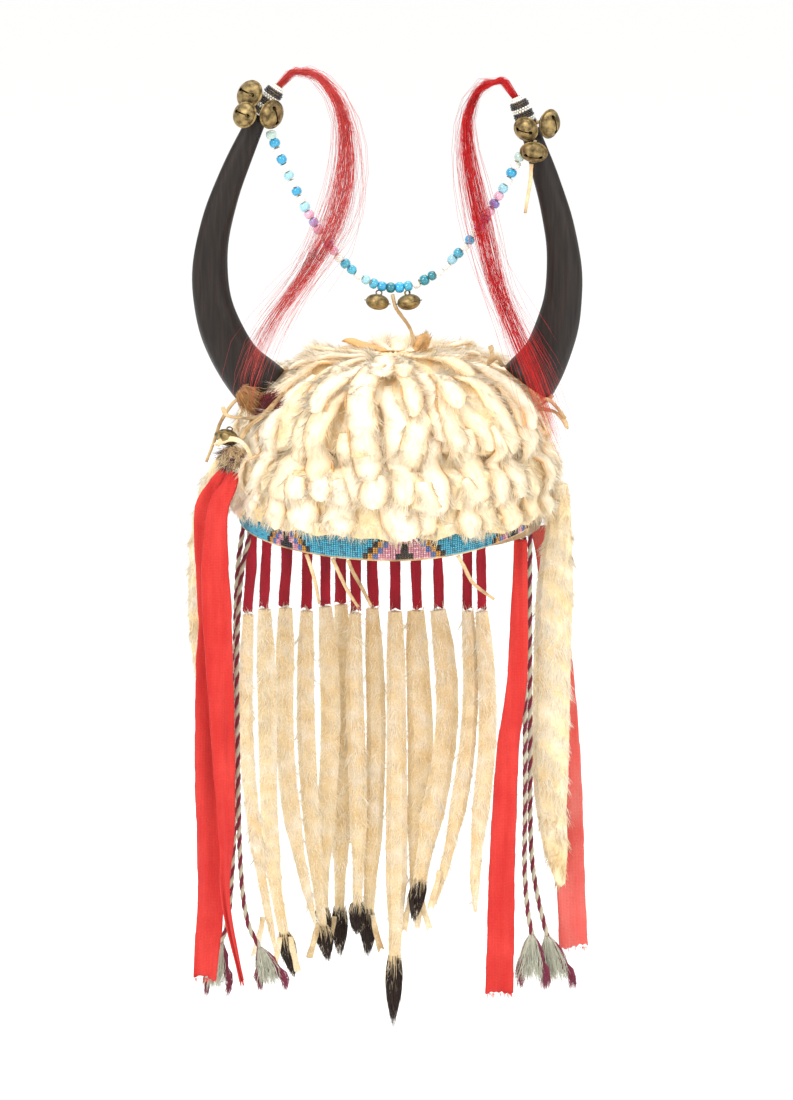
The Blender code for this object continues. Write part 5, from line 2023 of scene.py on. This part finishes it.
@dataclass
class StroudFringe:
    """Dark crimson wool tabs that hang from the rear of the rim and carry the fur drops.

    Attributes:
        finishes: the materials.
        threads: how many loose threads a tab's edges have.
    """

    finishes: Finishes
    threads: int = 56

    def tab(self, index: int, plan: DropPlan) -> tuple[Ribbon, float]:
        """One tab from the head strip down to its drop, and its half-width.

        Args:
            index: its number from 0.
            plan: the drop that it carries.

        Returns:
            The tab and its half-width in metres.
        """
        back = rim_depth(plan.top * MM)
        turn = math.atan2(back / CAP_HALF_DEPTH, plan.top * MM / CAP_HALF_WIDTH)
        top = Vector((FRINGE_HALF_WIDTH * math.cos(turn), FRINGE_HALF_DEPTH * math.sin(turn), -0.005))
        fall = TAB_LENGTH * (0.80 + 0.20 * back / CAP_HALF_DEPTH) + 0.003 * wobble(index, 0.2)
        foot = Vector((plan.top * MM * 0.985, back - 0.0015 + plan.setback * MM, -fall))
        half = TAB_WIDE / 2 * (1 + 0.12 * wobble(index, 0.7))
        middle = top.lerp(foot, 0.5) + Vector((0.0015 * wobble(index), 0, 0))
        route = np.array([top, middle, foot])
        name = f"stroud_tab_{index + 1:02d}"
        return Ribbon(name, route, lambda s: half, TAB_THICK * 0.9, 0.0006, index), half

    def build(self) -> None:
        """Hangs each tab, with a pale frayed selvedge."""
        shape = bmesh.new()
        bmesh.ops.create_grid(shape, x_segments=60, y_segments=2, size=1.0)
        for vertex in shape.verts:
            t = math.radians(97 + 89 * vertex.co.x)
            across, back = FRINGE_HALF_WIDTH * math.cos(t), FRINGE_HALF_DEPTH * math.sin(t)
            vertex.co = Vector((across, back, FRINGE_LEVEL + vertex.co.y * 0.005))
        bmesh.ops.solidify(shape, geom=shape.faces[:], thickness=TAB_THICK)
        bmesh.ops.recalc_face_normals(shape, faces=shape.faces)
        strip = baked("stroud_head", shape)
        put("stroud_head", strip, self.finishes.stroud, "stroud", "stroud_fringe")
        rng = np.random.default_rng(15)
        paths, radii, tints = [], [], []
        for index, plan in enumerate(DROPS):
            ribbon, half = self.tab(index, plan)
            piece = put(ribbon.name, ribbon.build(6, 34, ragged=0.001), self.finishes.stroud, "stroud")
            # A tab is narrower than LEAST_SHEET_WIDTH, so its width here is raised to that width; its length is
            # found too.
            wide, long = max(LEAST_SHEET_WIDTH, 2 * half), ribbon.length()
            line = smooth_line(ribbon.route, 60)
            for _ in range(self.threads):
                at = int(rng.integers(2, 60))
                side = rng.choice([-1, 1])
                start = line[at] + [side * half * 0.98, 0, 0]
                way = np.array([side * 0.9, rng.normal(scale=0.4), rng.normal(scale=0.5) - 0.2])
                long = rng.uniform(0.5, 1.5) * MM
                paths.append([start, start + way * long * 0.6, start + way * long + [0, 0, -0.3 * long]])
                radii.append((0.00014, 0.0001, 0))
                tints.append(np.tile(shade(Paint.SELVEDGE if side > 0 else Paint.STROUD), (3, 1)))
        mesh = strands("stroud_fray", np.array(paths), np.array(radii), np.array(tints))
        put("stroud_fray", mesh, self.finishes.wool, "stroud")


@dataclass(frozen=True)
class CordPlan:
    """A free cord: its seat in metres and its steps across, back and down from there in millimetres."""

    node: str
    seat: tuple[float, float, float]
    steps: tuple[tuple[float, float, float], ...]

    def route(self) -> list[Vector]:
        """The points that it follows."""
        seat = Vector(self.seat)
        return [seat, *[seat + Vector(step) * MM for step in self.steps]]

    def line(self, count: int) -> Points:
        """Even steps along the cord."""
        return smooth_line(self.route(), count)


YARNS = (
    CordPlan(
        "yarn_left_outer", (-0.0972, -0.0144, 0.0),
        ((-4, 0, -30), (-6, 0, -80), (-6, 0, -150), (-8, 0, -210), (-12, 0, -262), (-17, 0, -281)),
    ),
    CordPlan(
        "yarn_left_inner", (-0.0922, -0.0353, -0.0005),
        ((-6, 0, -30), (-9, 0, -80), (-9, 0, -150), (-8, 0, -220), (-4, 0, -258), (4, 0, -277)),
    ),
    CordPlan(
        "yarn_right_outer", (0.0870, -0.0389, -0.0005),
        ((0, 0, -40), (1, 0, -140), (2, 0, -205), (6, 0, -238), (13, 0, -268)),
    ),
    CordPlan(
        "yarn_right_inner", (0.0827, -0.0482, -0.0005),
        ((1, 0, -60), (2, 0, -170), (2, 0, -218), (4, 0, -246), (7, 0, -264)),
    ),
)
THONGS = (
    CordPlan(
        "thong_front_left", (-0.0549, -0.0855, -0.0034),
        ((3, 0.5, -9), (6, 0.5, -21), (8, 0.5, -32)),
    ),
    CordPlan(
        "thong_front_middle", (-0.0384, -0.0950, -0.0042),
        ((4, 0, -9), (9, 0, -20), (16, 0, -31)),
    ),
    CordPlan(
        "thong_front_inner", (-0.0287, -0.0986, -0.0045),
        ((3.5, -0.8, -8), (8.5, -1.6, -17), (14.5, -2, -29)),
    ),
    CordPlan("thong_front_right", (0.0399, -0.0942, -0.0026), ((4, 0, -7), (10, 0, -18), (23, 0, -28))),
    CordPlan(
        "thong_centre", (-0.001, -0.0160, 0.1508),
        ((2, 0.5, -8), (5.5, 3.5, -14), (11, 10, -23), (13, 13, -30), (12.6, 13.2, -35)),
    ),
    CordPlan(
        "thong_side_left", (-0.0966, -0.0300, 0.0880),
        ((-7, -4, -6), (-14, -6, -17), (-18, -6, -29), (-23, -6, -42)),
    ),
    CordPlan(
        "thong_bell_right", (0.0862, -0.0366, 0.2361),
        ((-0.5, 0, -9), (-2, 0, -19), (-3.7, 0, -31)),
    ),
    CordPlan("thong_side_right", (0.0924, -0.0279, 0.0843), ((6, -2, 1), (12, -2, -5), (17, -2, -11))),
)


@dataclass
class Cords:
    """Two-ply wool cords with their tassels, and hide thongs."""

    finishes: Finishes

    def yarn(self, plan: CordPlan) -> None:
        """A cord of two plies, one maroon and one grey, twisted round each other.

        Args:
            plan: where it hangs.
        """
        count, sides, half = 220, 14, YARN_ROUND / 2
        line = plan.line(count)
        along = unit(np.gradient(line, axis=0))
        side = unit(np.cross(along, [[0.0, 1.0, 0.0]]))
        other = np.cross(along, side)
        run = np.linspace(0, 1, count) * length_of(line)
        twist = run / YARN_TWIST * 2 * math.pi
        rings, tints = [], []
        for k in range(sides):
            turn = 2 * math.pi * k / sides
            lobe = 0.62 + 0.38 * abs(math.cos(turn))
            angle = (turn + twist)[:, None]
            rings.append(line + (side * np.cos(angle) + other * np.sin(angle)) * half * lobe)
            maroon = math.cos(turn) > 0
            # Each ply is painted darker towards the groove between the plies: painted shade.
            tone = shade(Paint.MAROON_WOOL if maroon else Paint.GREY_WOOL) * (0.7 + 0.3 * abs(math.cos(turn)))
            tints.append(np.tile(tone, (count, 1)))
        points = np.stack(rings, axis=1).reshape(-1, 3)
        colours = np.stack(tints, axis=1).reshape(-1, 3)
        faces = tube_faces(count - 1, sides)
        end = (count - 1) * sides
        faces += [(0, k + 1, k) for k in range(1, sides - 1)]
        faces += [(end, end + k, end + k + 1) for k in range(1, sides - 1)]
        mesh = mesh_of(f"wool_{plan.node}", points, np.array(faces), colours)
        piece = put(mesh.name, mesh, self.finishes.wool, "wool", plan.node)
        self.tassel(plan)

    def tassel(self, plan: CordPlan) -> bpy.types.Object:
        """The unspun ends below a cord: a pale loose tuft and two curly maroon locks.

        Args:
            plan: the cord above.

        Returns:
            The tassel's piece.
        """
        node = plan.node.replace("yarn", "tassel")
        low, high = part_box(node)
        rng = np.random.default_rng(len(node))
        count, steps = 380, 8
        top = Vector(plan.route()[-1])
        middle = (low + high) / 2
        lock = np.where(rng.random(count) < 0.42, rng.integers(1, 3, count), 0)
        curly = lock > 0
        turn, reach = rng.uniform(0, 2 * math.pi, count), np.sqrt(rng.random(count))
        spread = np.where(curly, 0.13, 0.58)
        lean = np.array([0.0, -0.42, 0.70])[lock] * (high.x - low.x)
        foot_x = middle.x + (middle.x - top.x) * 0.5 + lean
        foot_x = foot_x + np.cos(turn) * reach * (high.x - low.x) * spread
        foot_y = middle.y + np.sin(turn) * reach * (high.y - low.y) * spread
        drop = np.where(curly, rng.uniform(-0.12, 0.12, count), rng.uniform(0.02, 0.32, count))
        foot = np.column_stack([foot_x, foot_y, low.z + drop * (high.z - low.z)])
        ring = np.column_stack([np.cos(turn), np.sin(turn), 0 * turn])
        head = np.array(top)[None] + ring * (reach * 0.0016)[:, None]
        at = np.linspace(0, 1, steps)
        ease = (at**0.7)[None, :, None]
        paths = head[:, None] * (1 - ease) + foot[:, None] * ease
        paths[..., 2] = head[:, None, 2] * (1 - at) + foot[:, None, 2] * at
        curl = np.sin(at[None] * 13 + lock[:, None] * 2.1) * at[None] * np.where(curly, 0.0019, 0.0006)[:, None]
        paths[..., 0] += curl
        paths += rng.normal(scale=0.00045, size=paths.shape) * at[None, :, None]
        radii = np.tile(np.full(steps, 0.00020), (count, 1))
        tone = np.where(curly[:, None], shade(Paint.ROSE_WOOL), shade(Paint.PALE_WOOL))
        tone = tone * rng.uniform(0.75, 1.15, (count, 1))
        mesh = strands(f"wool_{node}", paths, radii, np.repeat(tone[:, None], steps, axis=1))
        return put(mesh.name, mesh, self.finishes.wool, "tassel", node)

    def thong(self, plan: CordPlan) -> None:
        """A narrow cut thong of soft hide.

        Args:
            plan: where it hangs.
        """
        line = plan.line(26)
        half = THONG_ROUND / 2
        mesh = sweep(
            f"hide_{plan.node}", line, lambda s: half * (1.0 - 0.25 * s**3), lambda s: half * 0.7, 10,
            uneven=lambda turn, s: 1 + 0.10 * math.sin(3 * turn + 9 * s) + 0.06 * math.sin(40 * s),
        )
        piece = put(mesh.name, mesh, self.finishes.hide, "hide", plan.node)
        long = length_of(line)
        if long < SHORTEST_CORD:
            return

    def build(self) -> None:
        """Makes the cords."""
        for plan in YARNS:
            self.yarn(plan)
        for plan in THONGS:
            self.thong(plan)
        dress("tie_knot_left", self.finishes.hide)


@dataclass(frozen=True)
class Tie:
    """A small strip at the horns' feet: its finish, its half-width and thickness in mm and its route in mm."""

    name: str
    finish: str
    half: float
    thick: float
    rows: tuple[tuple[float, float, float], ...]


TIES = (
    Tie(
        "hide_tie_left_1", "hide", 1.1, 1.0,
        ((-108, -45, 83), (-105, -47, 78), (-92, -49, 76.5), (-82, -49, 78)),
    ),
    Tie(
        "hide_tie_left_2", "hide", 1.5, 1.1,
        ((-97, -46, 63), (-92, -50, 71), (-84, -52, 78), (-76, -52, 86), (-70, -50, 93)),
    ),
    Tie("hide_tie_left_3", "hide", 1.0, 0.9, ((-88, -49, 77), (-91, -50, 73), (-92, -50, 68))),
    Tie(
        "hide_loop_left", "pale_hide", 1.8, 1.3,
        ((-113, -44, 58), (-109, -49, 62), (-101, -51, 63.5), (-94, -50, 59), (-91, -48, 51), (-92, -46, 44)),
    ),
    Tie("hide_tie_right_1", "hide", 1.3, 1.1, ((61, -30, 120), (62, -32, 114), (60, -33, 108))),
    Tie("hide_tie_right_2", "hide", 1.3, 1.1, ((60, -33, 109), (65, -34, 113), (70, -34, 107))),
    Tie("hide_tie_right_3", "hide", 1.0, 0.9, ((88, -27, 78), (96, -27, 83), (101, -26, 87))),
    Tie(
        "hide_tie_right_4", "hide", 1.2, 1.0,
        ((91, -26, 79), (102, -27, 77), (108, -27, 72), (111, -26, 66)),
    ),
    Tie("skin_fold_right_1", "skin", 3.0, 1.6, ((84, -40, 70), (91, -38, 67), (97, -32, 62))),
    Tie("skin_fold_right_2", "skin", 4.0, 1.8, ((85, -44, 62), (92, -40, 60), (97, -34, 55))),
)


@dataclass
class SmallTies:
    """The hide ties, patches and wool tuft that hold the horns and hangings to the cap."""

    finishes: Finishes
    tuft_hairs: int = 700

    def bristles(self, name: str, ends: tuple, reach: float, paint: Paint, count: int = 520) -> None:
        """A rough lock of fibres.

        Args:
            name: the piece's name.
            ends: the two places in millimetres that it lies between.
            reach: how far round its middle it spreads, in millimetres.
            paint: its colour.
            count: how many fibres.
        """
        rng = np.random.default_rng(len(name))
        first, last = (np.array(end) * MM for end in ends)
        way = unit(last - first)
        turn, out = rng.uniform(0, 2 * math.pi, count), np.sqrt(rng.random(count)) * reach * MM
        side = np.cross(way, [0, 1.0, 0])
        ring = side * np.cos(turn)[:, None] + np.array([0, -1.0, 0]) * np.sin(turn)[:, None] * 0.6
        roots = first + (last - first) * rng.random((count, 1)) * 0.8 + ring * out[:, None]
        at = np.linspace(0, 1, 4)[None, :, None]
        lean = way + ring * 0.25 + rng.normal(scale=0.28, size=(count, 3))
        paths = roots[:, None] + lean[:, None] * at * 0.008 + ring[:, None] * np.sin(at * 3) * 0.0012
        tints = shade(paint) * rng.uniform(0.6, 1.25, (count, 1))
        radii = np.tile([0.00024, 0.00024, 0.00018, 0.0], (count, 1))
        mesh = strands(name, paths, radii, np.repeat(tints[:, None], 4, axis=1))
        put(name, mesh, self.finishes.wool, "wool")

    def build(self) -> None:
        """Makes each strip and the tuft of wool over the left knot."""
        for index, tie in enumerate(TIES):
            route = smooth_line(np.array(tie.rows) * MM, 14)
            half = tie.half * MM
            ribbon = Ribbon(tie.name, route, lambda s: half * (1 - 0.3 * s), tie.thick * MM, 0.0007, index)
            put(tie.name, ribbon.build(5, 24, 0.001), getattr(self.finishes, tie.finish), "hide")
        self.bristles("hair_patch_left", ((-98, -42, 94), (-89, -45, 86)), 4.6, Paint.HAIR_PATCH)
        self.bristles("wool_patch_left", ((-90, -43, 79), (-74, -49, 88)), 4.8, Paint.DARK_RED_WOOL)
        rng = np.random.default_rng(9)
        count = self.tuft_hairs
        roots, normals = Skin("tie_knot_left").scatter(count, rng)
        plum = rng.random((count, 1)) < 0.6
        tints = np.where(plum, shade(Paint.PLUM_WOOL), shade(Paint.WARM_FUR))
        tints = tints * rng.uniform(0.7, 1.2, (count, 1))
        flow = np.tile([-0.4, -0.3, -0.6], (count, 1))
        mesh = Coat(0.0055, 0.00018, 0.5, 0.7, 0.006).grow("wool_tuft_left", roots, normals, flow, tints, rng)
        put("wool_tuft_left", mesh, self.finishes.wool, "wool")


@dataclass(frozen=True)
class Lamp:
    """A soft studio lamp: its place, its size in metres and its power in watts."""

    name: str
    place: tuple[float, float, float]
    size: float
    power: float


@dataclass
class Studio:
    """The camera at the photograph's angle, a plain pale floor and soft light."""

    finishes: Finishes
    aim: Vector = field(default_factory=lambda: Vector((0.0016, 0.0, -0.019)))
    distance: float = 2.45
    rise_deg: float = 12.0
    lens_mm: float = 123.35
    sky: float = 1.04
    floor_half: float = 60.0
    lamps: tuple[Lamp, ...] = (
        Lamp("key_lamp", (-1.3, -1.9, 1.6), 1.4, 36.0),
        Lamp("fill_lamp", (1.7, -1.8, 0.7), 1.6, 17.0),
        Lamp("top_lamp", (0.1, 0.2, 2.1), 1.8, 24.0),
    )

    def camera(self) -> None:
        """Stands in front of the bonnet and a little above it, looking down."""
        bpy.context.scene.view_settings.view_transform = "Standard"
        lens = bpy.data.cameras.new("camera")
        lens.lens, lens.sensor_width, lens.sensor_fit = self.lens_mm, 36.0, "AUTO"
        made = bpy.data.objects.new("camera", lens)
        bpy.context.scene.collection.objects.link(made)
        rise = math.radians(self.rise_deg)
        away = Vector((0, -self.distance * math.cos(rise), self.distance * math.sin(rise)))
        made.location = self.aim + away
        made.rotation_mode = "QUATERNION"
        made.rotation_quaternion = (self.aim - made.location).to_track_quat("-Z", "Y")
        bpy.context.scene.camera = made

    def build(self) -> None:
        """Lights the stage."""
        shape = bmesh.new()
        bmesh.ops.create_grid(shape, x_segments=1, y_segments=1, size=self.floor_half)
        bmesh.ops.translate(shape, verts=shape.verts, vec=(0, 0, CAD_BOX[0].z - 0.02))
        floor = bpy.data.objects.new("floor", baked("floor", shape))
        floor.data.materials.append(self.finishes.floor)
        bpy.context.scene.collection.objects.link(floor)
        for lamp in self.lamps:
            data = bpy.data.lights.new(lamp.name, "AREA")
            data.shape, data.size, data.energy = "DISK", lamp.size, lamp.power
            made = bpy.data.objects.new(lamp.name, data)
            made.location = lamp.place
            made.rotation_mode = "QUATERNION"
            made.rotation_quaternion = (Vector((0, 0, -0.05)) - made.location).to_track_quat("-Z", "Y")
            bpy.context.scene.collection.objects.link(made)
        world = bpy.data.worlds.new("studio")
        world.use_nodes = True
        background = world.node_tree.nodes["Background"]
        background.inputs["Color"].default_value = (1.0, 1.0, 1.0, 1.0)
        background.inputs["Strength"].default_value = self.sky
        bpy.context.scene.world = world


def main() -> None:
    """Builds the bonnet from its sub-assemblies and logs each as it is made."""
    logging.basicConfig(level=logging.INFO, format="%(name)s: %(message)s")
    finishes = Finishes()
    studio = Studio(finishes)
    studio.camera()
    Cords(finishes).build()
    makers = (
        FurCap, BrowBand, Horns, BeadString, Bells, Plumes, FurDrops, SideSkins, Streamers, StroudFringe,
        SmallTies,
    )
    for maker in makers:
        maker(finishes).build()
        LOG.info("%s is made", maker.__name__)
    studio.build()
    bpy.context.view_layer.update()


if __name__ == "__main__":
    main()
